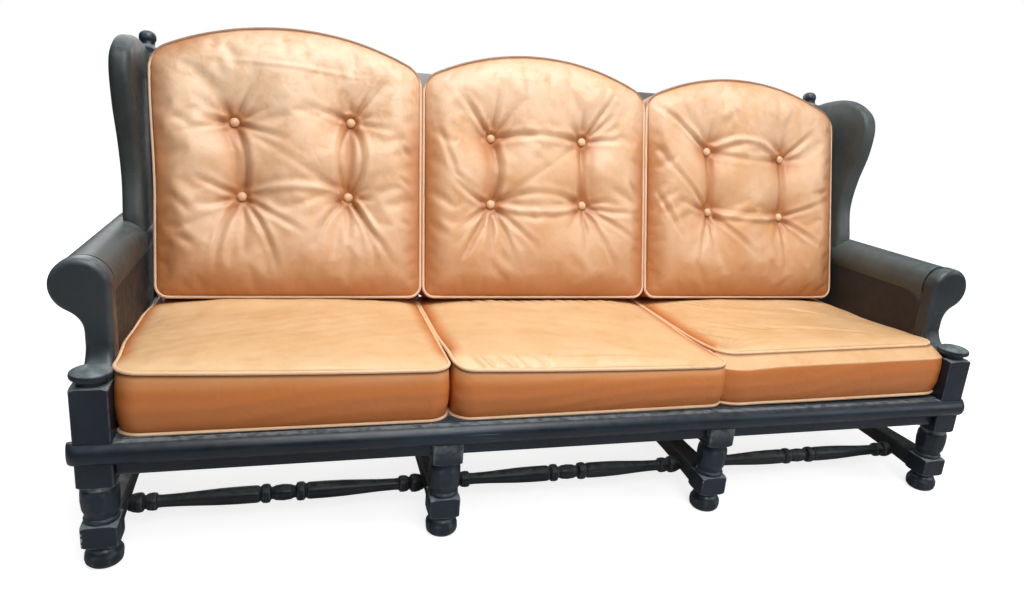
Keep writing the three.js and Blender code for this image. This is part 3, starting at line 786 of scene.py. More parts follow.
def back_edges(height):
    half, arch, shoulder, corner = cushion_width / 2, 620, 60, 26
    sx = half - shoulder
    rise = math.sqrt((arch - shoulder) ** 2 - sx ** 2)
    sz = height - arch + rise
    end = math.degrees(math.atan2(rise, sx))
    cx = half - corner
    return {
        "bottom": arc(-cx, corner, corner, 225, 270) + arc(cx, corner, corner, 270, 315),
        "right": arc(cx, corner, corner, -45, 0) + arc(sx, sz, shoulder, 0, end / 2),
        "top": arc(-sx, sz, shoulder, 180 - end / 2, 180 - end)
        + arc(0, height - arch, arch, 180 - end, end, 80) + arc(sx, sz, shoulder, end, end / 2),
        "left": arc(-cx, corner, corner, 225, 180) + arc(-sx, sz, shoulder, 180, 180 - end / 2),
    }


def along_edge(edge, t):
    edge = np.array(edge)
    travelled = np.concatenate([[0], np.cumsum(np.hypot(*np.diff(edge, axis=0).T))])
    at = t * travelled[-1]
    return np.stack([np.interp(at, travelled, edge[:, 0]), np.interp(at, travelled, edge[:, 1])], axis=-1)


def patch(edges, u, v):
    """Points inside four edge curves, spread evenly between opposite ones, indexed [v, u]."""
    bottom, top = along_edge(edges["bottom"], u), along_edge(edges["top"], u)
    left, right = along_edge(edges["left"], v), along_edge(edges["right"], v)
    u = u[None, :, None]
    v = v[:, None, None]
    across = bottom[None] * (1 - v) + top[None] * v
    upward = left[:, None] * (1 - u) + right[:, None] * u
    low = bottom[0] * (1 - u) + bottom[-1] * u
    high = top[0] * (1 - u) + top[-1] * u
    return across + upward - (low * (1 - v) + high * v)


def crowded(count):
    """Even steps from 0 to 1 that crowd a little towards both ends."""
    t = np.linspace(0, 1, count)
    return t - 0.3 * np.sin(2 * math.pi * t) / (2 * math.pi)


def dome(t):
    return np.sqrt(np.maximum(1 - np.abs(2 * t - 1) ** 3, 0))


def bowed(start, stop, bulge, steps=9):
    """A line from start to stop that bows to its left by bulge."""
    start = np.array(start, dtype=float)
    stop = np.array(stop, dtype=float)
    along = stop - start
    left = np.array([-along[1], along[0]]) / np.linalg.norm(along)
    bend = (start + stop) / 2 + 2 * bulge * left
    return [(1 - t) ** 2 * start + 2 * t * (1 - t) * bend + t * t * stop for t in np.linspace(0, 1, steps)]


def near_path(x, y, path):
    """Distance to a path of points, and how far along it the nearest place is, from 0 to 1."""
    away = np.full(x.shape, np.inf)
    along = np.zeros(x.shape)
    last = len(path) - 1
    for i in range(last):
        (px, py), step = path[i], np.subtract(path[i + 1], path[i])
        t = np.clip(((x - px) * step[0] + (y - py) * step[1]) / (step @ step), 0, 1)
        distance = np.hypot(x - px - t * step[0], y - py - t * step[1])
        nearer = distance < away
        away = np.where(nearer, distance, away)
        along = np.where(nearer, (i + t) / last, along)
    return away, along


class Folds:
    """Adds up folds on a cushion face, and how deep its creases are."""

    def __init__(self, x, y):
        self.x = x
        self.y = y
        self.height = np.zeros(x.shape)
        self.crease = np.zeros(x.shape)

    def add(self, path, depth, width, strength, widen=0.0):
        """A valley of that depth with a swell on both sides, or a ridge where depth is negative."""
        away, along = near_path(self.x, self.y, path)
        width = width * (1 + widen * along)
        valley = np.exp(-(away / width) ** 2)
        swell = 0.5 * np.exp(-((away - 1.9 * width) / width) ** 2)
        power = strength(along)
        self.height += depth * power * (swell - valley)
        if depth > 0:
            self.crease += 0.09 * depth * power * np.exp(-(away / (0.45 * width)) ** 2)

    def ray(self, start, angle, length, depth, bulge=0.0, width=5.4):
        """A fold that runs out from a button and fades."""
        turn = math.radians(angle)
        stop = (start[0] + length * math.cos(turn), start[1] + length * math.sin(turn))

        def fade(t):
            return smooth(t * length / 16) * (1 - t) ** 0.8

        self.add(bowed(start, stop, bulge), 1.25 * depth, width, fade, widen=0.6)

    def link(self, start, stop, bulge, depth, width=8.0):
        """A fold from one button to another, weaker half-way."""
        def fade(t):
            return 0.55 + 0.45 * smooth(np.abs(2 * t - 1))

        self.add(bowed(start, stop, bulge, 13), 1.1 * depth, width, fade)

    def line(self, path, depth, width):
        self.add(path, depth, width, lambda t: smooth(t / 0.5) * smooth((1 - t) / 0.5))


def ripple(x, y, seed, size, count=11):
    """Gentle unevenness from -1 to 1, the same on each run."""
    made = np.random.default_rng(seed)
    total = np.zeros(x.shape)
    for _ in range(count):
        turn = made.uniform(0, 2 * math.pi)
        phase = made.uniform(0, 2 * math.pi)
        scale = made.uniform(0.6, 1.7)
        total += np.sin(2 * math.pi * (x * math.cos(turn) + y * math.sin(turn)) / (size * scale) + phase)
    return total / math.sqrt(count)


cloth_frames = 20
cloth_reach = 26


def blown_up(plane, height, held, slackness):
    """A cushion face after its cover is filled like cloth, held along its seam and under its buttons.

    Every second point of the grid is simulated, and how far each one moves is limited.
    """
    scene = bpy.context.scene
    whole = np.concatenate([plane, height[..., None]], axis=-1)
    points = whole[::2, ::2]
    height, held = height[::2, ::2], held[::2, ::2]
    index = np.arange(height.size).reshape(height.shape)
    corners = (index[:-1, :-1], index[:-1, 1:], index[1:, 1:], index[1:, :-1])
    mesh = bpy.data.meshes.new("cover")
    faces = np.stack(corners, axis=-1).reshape(-1, 4).tolist()
    mesh.from_pydata((points.reshape(-1, 3) / PER_METRE).tolist(), [], faces)
    cover = bpy.data.objects.new("cover", mesh)
    scene.collection.objects.link(cover)
    cover.vertex_groups.new(name="held").add(np.flatnonzero(held).tolist(), 1.0, "ADD")
    cloth = cover.modifiers.new("cloth", "CLOTH")
    cloth.settings.quality = 5
    cloth.settings.mass = 0.35
    cloth.settings.vertex_group_mass = "held"
    cloth.settings.tension_stiffness = 30
    cloth.settings.compression_stiffness = 30
    cloth.settings.shear_stiffness = 12
    cloth.settings.bending_stiffness = 2.5
    cloth.settings.shrink_min = -slackness
    cloth.settings.use_pressure = True
    cloth.settings.uniform_pressure_force = 4
    cloth.settings.effector_weights.gravity = 0
    cloth.collision_settings.use_collision = False
    for frame_number in range(1, cloth_frames + 1):
        scene.frame_set(frame_number)
    filled = cover.evaluated_get(bpy.context.evaluated_depsgraph_get()).data
    moved = np.empty(height.size * 3)
    filled.vertices.foreach_get("co", moved)
    bpy.data.objects.remove(cover)
    bpy.data.meshes.remove(mesh)
    scene.frame_set(1)
    shift = moved.reshape(points.shape) * PER_METRE - points
    far = np.linalg.norm(shift, axis=-1, keepdims=True)
    shift *= np.minimum(1, cloth_reach / np.maximum(far, 1e-6))
    beside = shift[:-2, 1:-1] + shift[2:, 1:-1] + shift[1:-1, :-2] + shift[1:-1, 2:]
    shift[1:-1, 1:-1] = (shift[1:-1, 1:-1] + beside / 4) / 2
    settled = whole + curve_through(curve_through(shift, 2).swapaxes(0, 1), 2).swapaxes(0, 1)
    return settled[..., :2], settled[..., 2]


class Skin:
    """Gathers a cushion's points, faces and vertex values."""

    def __init__(self):
        self.points = []
        self.faces = []
        self.kinds = []
        self.crease = []
        self.worn_and_highlit = []
        self.shaded_unfaded = []
        self.count = 0

    def rows(self, points, crease=0.0, worn_and_highlit=0.0, shaded_unfaded=0.0):
        points = np.asarray(points, dtype=float).reshape(-1, 3)
        self.points.append(points)
        self.crease.append(np.broadcast_to(crease, len(points)) * 1.0)
        self.worn_and_highlit.append(np.broadcast_to(worn_and_highlit, len(points)) * 1.0)
        self.shaded_unfaded.append(np.broadcast_to(shaded_unfaded, len(points)) * 1.0)
        first = self.count
        self.count += len(points)
        return np.arange(first, self.count)

    def quads(self, first, second, kind=0, closed=True):
        size = len(first)
        for j in range(size if closed else size - 1):
            k = (j + 1) % size
            self.faces.append((first[j], first[k], second[k], second[j]))
            self.kinds.append(kind)

    def make(self, name, materials, to_world):
        points = to_world(np.concatenate(self.points))
        piece = make_piece(name, points, self.faces, materials[0], sharp=None)
        piece.data.materials.append(materials[1])
        piece.data.polygons.foreach_set("material_index", self.kinds)
        for label, values in (("crease", self.crease), ("worn_and_highlit", self.worn_and_highlit), ("shaded_unfaded", self.shaded_unfaded)):
            stored = piece.data.attributes.new(label, "FLOAT", "POINT")
            stored.data.foreach_set("value", np.clip(np.concatenate(values), 0, 1))
        return piece


def build_cushion(plane, height, crease, worn_and_highlit, shaded_unfaded, foot, side_rows, rear, piping_dark):
    """A closed, piped cushion over a [v, u] grid of (a, b) points, with its face at the given heights.

    foot gives the height of the lower seam. side_rows gives the reach, height, crease and share of painted
    shade of each row of the boxing, rear the rows beneath, and the last argument how dark the upper piping
    is.
    """
    skin = Skin()
    rows, columns = plane.shape[:2]
    face = np.concatenate([plane, height[..., None]], axis=-1)
    grid = skin.rows(face, crease.ravel(), worn_and_highlit.ravel(), shaded_unfaded.ravel())
    grid = grid.reshape(rows, columns)
    for j in range(rows - 1):
        skin.quads(grid[j], grid[j + 1], closed=False)

    def rim(values):
        return np.concatenate([values[0, :-1], values[:-1, -1], values[-1, :0:-1], values[:0:-1, 0]])

    edge = rim(plane)
    top = rim(height)
    along = np.roll(edge, -1, axis=0) - np.roll(edge, 1, axis=0)
    along /= np.linalg.norm(along, axis=1, keepdims=True)
    outward = np.stack([along[:, 1], -along[:, 0]], axis=1)
    upper = rim(grid)
    low = foot(edge, outward)
    for reach, level, seam, shade_share in side_rows(edge, outward, top, low):
        row = np.concatenate([edge + outward * reach[:, None], level[:, None]], axis=1)
        # A boxing row is painted paler where it has less painted shade, a painted highlight.
        lower = skin.rows(row, seam, 0.9 * (1 - shade_share), shade_share)
        skin.quads(upper, lower)
        upper = lower
    centre = np.mean(edge, axis=0)
    for scale, level in rear:
        row = np.concatenate([centre + (edge - centre) * scale, np.full((len(edge), 1), level)], axis=1)
        lower = skin.rows(row)
        skin.quads(upper, lower)
        upper = lower
    hub = skin.rows([(*centre, rear[-1][1])])[0]
    for j in range(len(upper)):
        skin.faces.append((upper[j], upper[(j + 1) % len(upper)], hub))
        skin.kinds.append(0)

    upper_seam = (top, np.full(len(edge), piping_out), piping_dark(outward))
    lower_seam = (low, reach + piping_out, np.zeros(len(edge)))
    for level, shift, darkening in (upper_seam, lower_seam):
        ring_rows = []
        for turn in full_turn(8):
            beyond = edge + outward * (shift + piping * math.cos(turn))[:, None]
            around = points_of(beyond[:, 0], beyond[:, 1], level + piping * math.sin(turn))
            ring_rows.append(skin.rows(around, darkening, 0.6))
        for first, second in zip(ring_rows, ring_rows[1:] + ring_rows[:1]):
            skin.quads(first, second, kind=1)
    return skin


button_places = {
    "left": ((-133, 529), (132, 545), (-117, 357), (126, 364)),
    "middle": ((-131, 529), (120, 535), (-130, 360), (122, 366)),
    "right": ((-117, 530), (122, 521), (-112, 361), (121, 354)),
}
back_heights = {"left": 632, "middle": 622, "right": 612}
back_fade = {"left": 0.45, "middle": 0.2, "right": 0.05}
back_foot = 124
back_rear = -47
back_boxing = 100
back_crown = 36

# Folds seen in the photo. A ray is (angle, length, depth, bow) from a button, in the order of button_places.
# A link is (button, button, bow, depth), a line is (points, depth, width). A negative depth is a ridge.
back_folds = {
    "left": {
        "rays": (
            ((178, 70, 6), (63, 100, 5), (105, 60, 4), (120, 70, 4), (25, 95, 4), (-18, 125, 6),
             (195, 150, 3)),
            ((62, 100, 5), (51, 150, 4), (90, 60, 4), (153, 65, 4), (163, 130, 3), (-9, 120, 3),
             (22, 65, 4)),
            ((158, 120, 5), (196, 95, 6), (-30, 165, 6), (18, 75, 5), (-106, 190, 6, -18), (-66, 205, 6, 14),
             (-80, 90, 4)),
            ((166, 70, 5), (200, 65, 5), (30, 55, 4), (-5, 70, 5), (-122, 155, 5, -16), (-70, 185, 6, 16),
             (-56, 200, 5), (-90, 120, 4)),
        ),
        "links": ((0, 2, 20, 6), (1, 3, -25, 5), (1, 3, 0, 5), (1, 3, 30, 5), (2, 3, 25, -6), (0, 3, 0, 2)),
        "lines": (
            (((-279, 549), (0, 536), (256, 517)), -1.3, 5),
            (((240, 380), (290, 330)), 2.5, 7), (((235, 300), (288, 262)), 2.5, 7),
            (((240, 190), (285, 170)), 2.5, 7), (((-270, 420), (-200, 380)), 2.5, 9),
            (((-275, 240), (-210, 180)), 3, 9), (((-270, 150), (-200, 110)), 3, 9),
        ),
    },
    "middle": {
        "rays": (
            ((128, 147, 7), (82, 135, 5), (51, 108, 5), (170, 30, 4)),
            ((93, 80, 5), (57, 171, 6), (40, 123, 5), (3, 119, 4), (133, 58, 4)),
            ((144, 142, 6, 14), (215, 112, 6), (239, 192, 6), (266, 141, 5), (-67, 173, 5), (-43, 173, 5)),
            ((11, 73, 5), (-5, 168, 5, -10), (-32, 190, 5), (-62, 186, 5), (-90, 124, 5), (231, 89, 3)),
        ),
        "links": ((0, 1, 8, 6), (2, 3, -20, -6), (2, 3, 30, 4), (0, 2, 20, 6), (1, 3, -8, 6), (1, 2, 0, 2)),
        "lines": (
            (((-285, 470), (-225, 310), (-145, 245)), 3, 7),
            (((-95, 590), (-90, 500)), 1.8, 9), (((-40, 600), (-42, 480)), 1.8, 9),
            (((20, 600), (15, 490)), 1.8, 9), (((75, 595), (70, 500)), 1.8, 9),
            (((190, 570), (150, 480)), 2.2, 9), (((240, 330), (285, 250)), 2.5, 9),
        ),
    },
    "right": {
        "rays": (
            ((145, 208, 7), (88, 88, 4), (120, 85, 3)),
            ((41, 133, 6), (90, 75, 4), (7, 72, 4)),
            ((166, 115, 5), (137, 256, 4), (-88, 134, 5), (252, 167, 5), (-40, 190, 5)),
            ((20, 190, 4), (-33, 162, 5), (-50, 117, 5), (-90, 157, 5), (245, 98, 3)),
        ),
        "links": ((0, 1, 40, -6), (0, 1, -15, 4), (0, 2, 0, 6), (1, 3, 0, 6), (2, 3, -12, -6)),
        "lines": (
            (((-296, 308), (-240, 225), (-191, 146)), 5, 7), (((-290, 420), (-230, 350)), 2.5, 9),
            (((230, 300), (285, 320)), 2.5, 8), (((-60, 560), (-20, 470)), 1.6, 10),
        ),
    },
}


def lean_to_world(x):
    """Turns a cushion's own (across, up, out) points into the frame, on the leaning back."""
    def moved(points):
        y = back_rear - points[:, 2]
        z = back_foot + points[:, 1]
        return points_of(
            x + points[:, 0],
            knee[1] + y * math.cos(lean) + z * math.sin(lean),
            knee[2] - y * math.sin(lean) + z * math.cos(lean),
        )
    return moved


def slack(x, y, buttons):
    """How far the buttons let the face rise, from 0 at a button to 1 away from all."""
    free = np.ones(x.shape)
    for bx, by in buttons:
        free *= 1 - np.exp(-(np.hypot(x - bx, y - by) / 54) ** 1.4)
    for high, low in ((0, 2), (1, 3)):
        away, _ = near_path(x, y, [buttons[low], buttons[high]])
        free *= 1 - 0.45 * np.exp(-(away / 22) ** 2)
    return free


def even_sides(bulge):
    """The boxing of a cushion that fills out evenly between its two seams."""
    def rows(edge, outward, top, low):
        steps = np.concatenate([[0.03], np.linspace(0.08, 0.92, 11), [0.97, 1.0]])
        for s in steps:
            reach = np.full(len(edge), bulge * math.sin(math.pi * s) ** 0.7)
            # The back cushions' boxing takes the full painted shade colour.
            yield reach, low + (top - low) * (1 - s), (0.8 if s < 0.05 or s > 0.95 else 0.0), 1.0
    return rows


def rim_distance(u, v, width, height):
    across = np.minimum(u, 1 - u)[None, :] * width
    upward = np.minimum(v, 1 - v)[:, None] * height
    return np.minimum(across, upward)


def flat_foot(edge, outward):
    return np.zeros(len(edge))


def dark_top(outward):
    """How dark the piping is painted: most along the top of a back cushion."""
    return 0.85 * smooth((outward[:, 1] - 0.1) / 0.5)


back_grid = 185
back_rear_rings = (0.985, 0.95, 0.9, 0.82, 0.72, 0.55, 0.35, 0.15)


def back_cushions():
    u = crowded(back_grid)
    v = crowded(back_grid)
    rear = [(r, -27 * math.sqrt(1 - r ** 3.4)) for r in back_rear_rings]
    inside = rim_distance(u, v, cushion_width, 600)
    calm = smooth(inside / 34)
    for seed, (name, places) in enumerate(button_places.items()):
        plane = patch(back_edges(back_heights[name]), u, v)
        x, y = plane[..., 0].copy(), plane[..., 1].copy()
        # The left cushion spreads at its upper left, and the right one sinks a little to its right.
        if name == "left":
            plane[..., 0] -= 11 * smooth(-x / 260) * smooth((y - 220) / 300)
        if name == "right":
            plane[..., 1] -= 0.022 * x * smooth(y / 420)
        buttons = [(bx, bz - back_foot) for bx, bz in places]
        looks = back_folds[name]
        folds = Folds(x, y)
        for start, rays in zip(buttons, looks["rays"]):
            for ray in rays:
                folds.ray(start, *ray)
        for first, second, bulge, depth in looks["links"]:
            folds.link(buttons[first], buttons[second], bulge, depth)
        for path, depth, width in looks["lines"]:
            folds.line(path, depth, width)
        free = slack(x, y, buttons)
        full = back_crown * dome(u)[None, :] * dome(v)[:, None] * free
        uneven = 1.6 * ripple(x, y, seed, 150) + 0.6 * ripple(x, y, seed + 20, 55)
        height = back_boxing + full + calm * uneven * free
        near = np.min([np.hypot(x - bx, y - by) for bx, by in buttons], axis=0)
        held = (inside < 0.01) | (near < 9)
        filled_plane, filled_height = blown_up(plane, height, held, slackness=0.014)
        tie = np.min([near_path(x, y, [buttons[i], buttons[i + 2]])[0] for i in (0, 1)], axis=0)
        ease = (0.35 + 0.65 * smooth(inside / 60)) * (0.15 + 0.85 * smooth(tie / 50))
        plane = plane + ease[..., None] * (filled_plane - plane)
        height = height + ease * (filled_height - height)
        height = height + calm * folds.height * smooth(free * 5)
        crease = folds.crease * calm + np.exp(-(inside / 4) ** 2)
        # The leather is palest on ridges and near the top, a painted highlight on its fading, and darkest
        # along its rim and foot, painted shade.
        worn_and_highlit = back_fade[name] + smooth(folds.height / 6) * calm + 0.6 * smooth((y - 300) / 260) * calm
        lower = 1 - 0.85 * smooth((y - 330) / 200)
        wide = 75
        if name == "left":
            lower = np.maximum(lower, 0.8 * smooth((-x - 120) / 120))
            wide = 75 + 40 * smooth((-x - 60) / 160) * smooth((300 - y) / 220)
        from_rim = 1 - lower * (1 - smooth(inside / wide))
        from_foot = 1 - 0.3 * smooth((260 - y) / 200)
        # Painted shade, partly unfaded leather: a deeper orange round the buttons, along the rim and at the
        # foot.
        shaded_unfaded = 1 - smooth(free * 1.2) * from_rim * from_foot
        skin = build_cushion(
            plane, height, crease, worn_and_highlit, shaded_unfaded, flat_foot, even_sides(4.5), rear, dark_top)
        to_world = lean_to_world(cushion_x[name])
        piece = skin.make(f"buttoned_back_cushion_{name}", (back_leather, back_piping), to_world)
        stand_for(piece, "back_leather", f"back_cushion_{name}")
        covered_buttons(name, buttons)


def covered_buttons(name, buttons):
    profile = curve_through(
        [(0, 10.8), (1.2, 12), (3.4, 12.2), (5.6, 10.6), (7.6, 7.4), (8.7, 3.8), (9, 0.1)], 3)
    turns = full_turn(28)
    to_world = lean_to_world(cushion_x[name])
    for i, (bx, by) in enumerate(buttons):
        skin = Skin()
        last = None
        for out, radius in profile:
            radius *= 0.9
            level = back_boxing + 1.3 + out
            ring = points_of(bx + radius * np.cos(turns), by + radius * np.sin(turns), level)
            row = skin.rows(ring, 0.5 * math.exp(-out), 0.5 * smooth((out - 4) / 4))
            if last is not None:
                skin.quads(last, row)
            else:
                skin.faces.append(tuple(row))
                skin.kinds.append(0)
            last = row
        skin.faces.append(tuple(last))
        skin.kinds.append(0)
        piece = skin.make(f"covered_button_{name}_{i + 1}", (back_leather, back_piping), to_world)
        stand_for(piece, "back_leather", f"button_{name}_{i + 1}")


seat_front = nose + 39
seat_bottom = 259 + gap
seat_boxing = 107
seat_crown = {"left": 24, "middle": 19, "right": 21}
seat_grid = (165, 145)
seat_fade = {"left": 0.35, "middle": 0.4, "right": 0.1}


def seat_lines(name, folds):
    """The folds of one seat: what years of sitting left in the leather."""
    if name == "left":
        # Soft waves behind the front seam.
        for i in range(4):
            folds.line([(-240 + 120 * i, 30 + 12 * i), (-160 + 120 * i, 24 + 10 * i)], 0.9, 14)
    if name == "middle":
        # A crease along the front seam, gathers at its left end, and pleats before the back cushion.
        folds.line([(-262, 40), (0, 36), (290, 42)], 2.6, 11)
        for i in range(7):
            start = -276 + 25 * i + 9 * math.sin(4 * i)
            folds.add([(start, 52), (start + 34, 2)], 4.2 - 0.35 * i, 6, lambda t: smooth(t / 0.5))
        for i in range(13):
            folds.line([(-190 + 31 * i, 452), (-160 + 31 * i, 380)], 2.4, 7.5)
    if name == "right":
        # A fold at the pulled corner, drag lines across the top, and rays out of that corner.
        folds.line([(-296, 215), (-262, 150), (-205, 84)], 5, 9)
        for i in range(9):
            folds.line([(-240 + 34 * i, 430 - 7 * i), (-120 + 40 * i, 330 - 9 * i)], 4.2, 7.5)
        for i in range(5):
            folds.line([(-250 + 60 * i, 230 - 20 * i), (-150 + 80 * i, 150 - 14 * i)], 3.6, 9)
        for i in range(6):
            turn = math.radians(6 + 15 * i)
            reach = 150 - 14 * i
            stop = (-276 + reach * math.cos(turn), 62 + reach * math.sin(turn))
            folds.add([(-276, 62), stop], 2.6, 6.5, lambda t: smooth(t / 0.3) * (1 - t), widen=0.9)


def seat_seam(name, x):
    """How far the front top seam rises and is pulled back along a seat."""
    t = x / (seat_width / 2)
    if name == "left":
        return 5 - 6 * t + 3 * t ** 2, np.zeros_like(t)
    if name == "middle":
        return -7 + 3 * np.abs(t) ** 2.5 - 5 * t, np.ones_like(t)
    corner = smooth((-t - 0.35) / 0.55)
    return 14 + 6 * t - 6 * corner, 33 + 16 * corner


# Rows of a seat's boxing from the top seam down. They crowd where the right seat's leather folds over.
seat_side_steps = np.concatenate([
    [0.02, 0.05, 0.09, 0.13, 0.16, 0.18, 0.19, 0.2, 0.22], np.linspace(0.26, 0.93, 14), [0.97, 1.0],
])


def seat_sides(name):
    """The boxing of a seat: fuller at the front, and rolled over where its seam is pulled back.

    The right seat is kept from bulging into the front post.
    """
    def rows(edge, outward, top, low):
        forward = smooth((-outward[:, 1] - 0.1) / 0.8)
        pull = seat_seam(name, edge[:, 0])[1] * forward
        bulge = 4 + 7 * forward
        seam_end = 0.03 if name == "right" else 0.06
        beside_post = seat_width / 2 + 10 * smooth((edge[:, 1] - 35) / 40)
        room = (beside_post - edge[:, 0]) / np.maximum(outward[:, 0], 0.05)
        x = edge[:, 0]
        for s in seat_side_steps:
            rolled = pull * min(1.0, s / 0.19)
            tuck = 0.9 * np.sin(x / 19 + 7 * s) * smooth((s - 0.5) / 0.4) * forward
            drag = 0.45 * np.sin(22 * s + x / 60 + 2 * np.sin(x / 90)) * math.sin(math.pi * s) * forward
            reach = bulge * math.sin(math.pi * s) ** 0.75 + rolled + tuck * (1 - s) * 3 + drag
            if s > 0.96:
                reach = pull * np.ones(len(edge))
            if name == "right":
                reach = np.where(outward[:, 0] > 0.05, np.minimum(reach, np.maximum(room, 0)), reach)
            crisp = smooth((s - 0.18) / 0.05)
            # Painted shade on the boxing, partly unfaded leather; the right seat's pale band above its crease
            # is a painted highlight.
            shade_share = 0.15 + 0.85 * crisp if name == "right" else 0.55 + 0.45 * smooth(s / 0.35)
            yield reach, low + (top - low) * (1 - s), (1.0 if s < seam_end or s > 0.95 else 0.0), shade_share
    return rows


def seat_foot(name):
    """How far the lower front seam of a seat curls up off the frame."""
    def lift(edge, outward):
        t = edge[:, 0] / (seat_width / 2)
        curl = {"left": 0.0, "middle": 2 + 2 * t, "right": 7 + 3 * t}[name]
        return curl * smooth((-outward[:, 1] - 0.1) / 0.8)
    return lift


def no_dark_piping(outward):
    return np.zeros(len(outward))


def seat_cushions():
    edges = seat_edges()
    u = crowded(seat_grid[0])
    v = crowded(seat_grid[1])
    flat = patch(edges, u, v)
    inside = rim_distance(u, v, seat_width, seat_depth)
    calm = smooth(inside / 12)
    back_out = back_boxing - back_rear
    back_low = back_foot - piping - 1
    foot_y = knee[1] - back_out * math.cos(lean) + back_low * math.sin(lean)
    foot_z = knee[2] + back_out * math.sin(lean) + back_low * math.cos(lean)
    for seed, name in enumerate(cushion_x):
        x, y = flat[..., 0], flat[..., 1]
        forward = smooth((190 - y) / 170)
        rise, pull = seat_seam(name, x)
        # The front seam is pulled back, the middle and right seats are pushed sideways at the front, and the
        # outer seats bulge beside the arms.
        plane = flat.copy()
        plane[..., 1] += pull * smooth((120 - y) / 120)
        if name == "middle":
            plane[..., 0] += 19 * smooth((x + 60) / 360) * smooth((220 - y) / 190)
        if name == "right":
            plane[..., 0] += 15 * smooth((-40 - x) / 260) * smooth((190 - y) / 170)
        beside = smooth((y - 60) / 140) * smooth((480 - y) / 120)
        if name == "left":
            plane[..., 0] -= 10 * beside * smooth(-x / 300)
        if name == "right":
            plane[..., 0] += 10 * beside * smooth(x / 300)
        rise = rise * smooth((330 - y) / 330)
        folds = Folds(plane[..., 0], plane[..., 1])
        seat_lines(name, folds)
        full = seat_crown[name] * dome(u)[None, :] * dome(v)[:, None]
        uneven = 1.3 * ripple(x, y, seed + 40, 190) + 0.45 * ripple(x, y, seed + 60, 60)
        height = seat_boxing + full + rise + calm * (folds.height + uneven)
        if name == "middle":
            height += 10 * smooth(y / 42) * (1 - smooth((y - 60) / 160)) * smooth((220 - x) / 250)
        # The face swells just before the back cushion, and is pressed flat beneath it.
        behind = seat_front + plane[..., 1] - foot_y
        height = height + 7 * np.exp(-((behind + 25) / 32) ** 2) * dome(u)[None, :]
        rest = foot_z - seat_bottom - behind * math.tan(lean) - 1.0
        height = np.where(behind > -6, np.minimum(height, rest), height)
        crease = folds.crease * calm + np.exp(-(inside / 2.5) ** 2)
        # Painted highlight, with wear: the seats are paler along their front edge, and the middle seat has a
        # pale band at its front left.
        worn_and_highlit = seat_fade[name] + smooth((60 - y) / 60) * 0.6 * calm
        if name == "middle":
            worn_and_highlit += np.exp(-((y - 20) / 15) ** 2) * smooth((170 - x) / 220)
        rear = [(r, 0.0) for r in (0.985, 0.9, 0.7, 0.4)]
        # Painted shade, partly unfaded leather: a deeper orange near the rim, away from the front edge.
        shaded_unfaded = (1 - smooth(inside / 40)) * smooth((y - 30) / 60)
        skin = build_cushion(
            plane, height, crease, worn_and_highlit, shaded_unfaded, seat_foot(name), seat_sides(name), rear, no_dark_piping)
        centre = seat_x[name]
        piece = skin.make(
            f"piped_seat_cushion_{name}", (seat_leather, seat_piping),
            lambda points: points + [centre, seat_front, seat_bottom],
        )
        stand_for(piece, "seat_leather", f"seat_cushion_{name}")


# Stage

def seen_by_camera(tree, shaded, shown):
    """What the camera sees as shown, and everything else as shaded."""
    path = node(tree, "LightPath")
    mix = node(tree, "MixShader")
    tree.links.new(path.outputs["Is Camera Ray"], mix.inputs[0])
    tree.links.new(shaded, mix.inputs[1])
    tree.links.new(shown, mix.inputs[2])
    return mix.outputs[0]


def floor():
    """A pale floor that looks white to the camera, apart from the sofa's faint shadow."""
    far = 9000
    points = [(-far, -far, 0), (far, -far, 0), (far, far, 0), (-far, far, 0)]
    faces = [(0, 1, 2, 3)]
    material, tree, shader = new_material("pale_floor")
    speckle = noise(tree, place_of(tree), 2, 3)
    tree.links.new(mixed(tree, speckle, (0.48, 0.48, 0.48), (0.54, 0.54, 0.54)), shader.inputs["Base Color"])
    shader.inputs["Roughness"].default_value = 0.9
    away = node(tree, "VectorMath", {"operation": "LENGTH"})
    tree.links.new(place_of(tree), away.inputs[0])
    lift = between(tree, away.outputs["Value"], 1.3, 2.4, 0.8, 1.0)
    white = node(tree, "Emission", Color=(1, 1, 1, 1), Strength=lift)
    lifted = node(tree, "AddShader")
    tree.links.new(shader.outputs[0], lifted.inputs[0])
    tree.links.new(white.outputs[0], lifted.inputs[1])
    seen = seen_by_camera(tree, shader.outputs[0], lifted.outputs[0])
    tree.links.new(seen, tree.nodes["Material Output"].inputs[0])
    piece = make_piece("floor", points, faces, material, sharp=None)
    piece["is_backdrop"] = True


def soft_light(name, place, target, size, power):
    lamp = bpy.data.lights.new(name, "AREA")
    lamp.shape = "DISK"
    lamp.size = size
    lamp.energy = power
    holder = bpy.data.objects.new(name, lamp)
    holder.location = place
    holder.visible_camera = False
    holder.rotation_euler = (Vector(target) - Vector(place)).to_track_quat("-Z", "Y").to_euler()
    bpy.context.scene.collection.objects.link(holder)


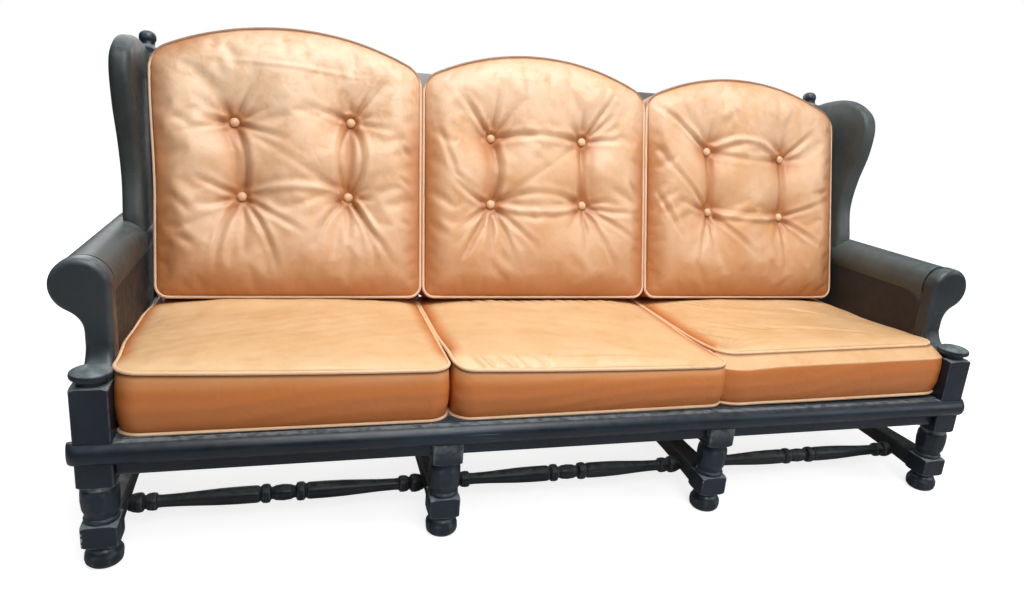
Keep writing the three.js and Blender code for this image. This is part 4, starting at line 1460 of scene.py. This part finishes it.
def studio():
    """Four soft lamps, and a weak sky that looks white to the camera."""
    soft_light("key_light", (0.0, -2.7, 2.9), (0, 0, 0.5), 1.8, 42)
    soft_light("top_light", (0.1, -0.8, 3.2), (0, -0.1, 0.4), 2.3, 86)
    soft_light("back_light", (-0.5, 2.7, 1.8), (0, -0.2, 0.4), 3.2, 60)
    soft_light("side_light", (3.2, -2.2, 1.8), (0.3, 0, 0.5), 2.2, 28)
    world = bpy.data.worlds.new("studio")
    bpy.context.scene.world = world
    world.use_nodes = True
    tree = world.node_tree
    sky = tree.nodes["Background"]
    sky.inputs["Color"].default_value = (0.93, 0.97, 1, 1)
    sky.inputs["Strength"].default_value = 0.11
    white = node(tree, "Background", Color=(1, 1, 1, 1), Strength=1.0)
    seen = seen_by_camera(tree, sky.outputs[0], white.outputs[0])
    tree.links.new(seen, tree.nodes["World Output"].inputs[0])


def photo_camera():
    """The photo's camera. Its angles are in radians and its place in metres."""
    yaw, pitch, roll = 0.3013, -0.2675, 0.0822
    forward = Vector((math.sin(yaw) * math.cos(pitch), math.cos(yaw) * math.cos(pitch), math.sin(pitch)))
    right = Vector((math.cos(yaw), -math.sin(yaw), 0))
    up = right.cross(forward)
    across = right * math.cos(roll) + up * math.sin(roll)
    upright = up * math.cos(roll) - right * math.sin(roll)
    lens = bpy.data.cameras.new("photo_camera")
    lens.lens = 25.99
    lens.sensor_width = 36
    camera = bpy.data.objects.new("photo_camera", lens)
    turn = Matrix((across, upright, -forward)).transposed().to_4x4()
    turn.translation = (-0.6216, -1.7046, 0.9081)
    camera.matrix_world = turn
    bpy.context.scene.collection.objects.link(camera)
    bpy.context.scene.camera = camera


photo_camera()
front_posts()
middle_legs()
front_moulding()
turned_stretchers()
arm_fronts()
arm_rolls()
wings()
back_posts()
finish_boards()
seat_webbing()
back_cushions()
seat_cushions()
floor()
studio()
bpy.context.scene.view_settings.view_transform = "Standard"

boxes = {"cad": cad_box, "visual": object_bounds()}
{name: [list(corner) for corner in pair] for name, pair in boxes.items()}
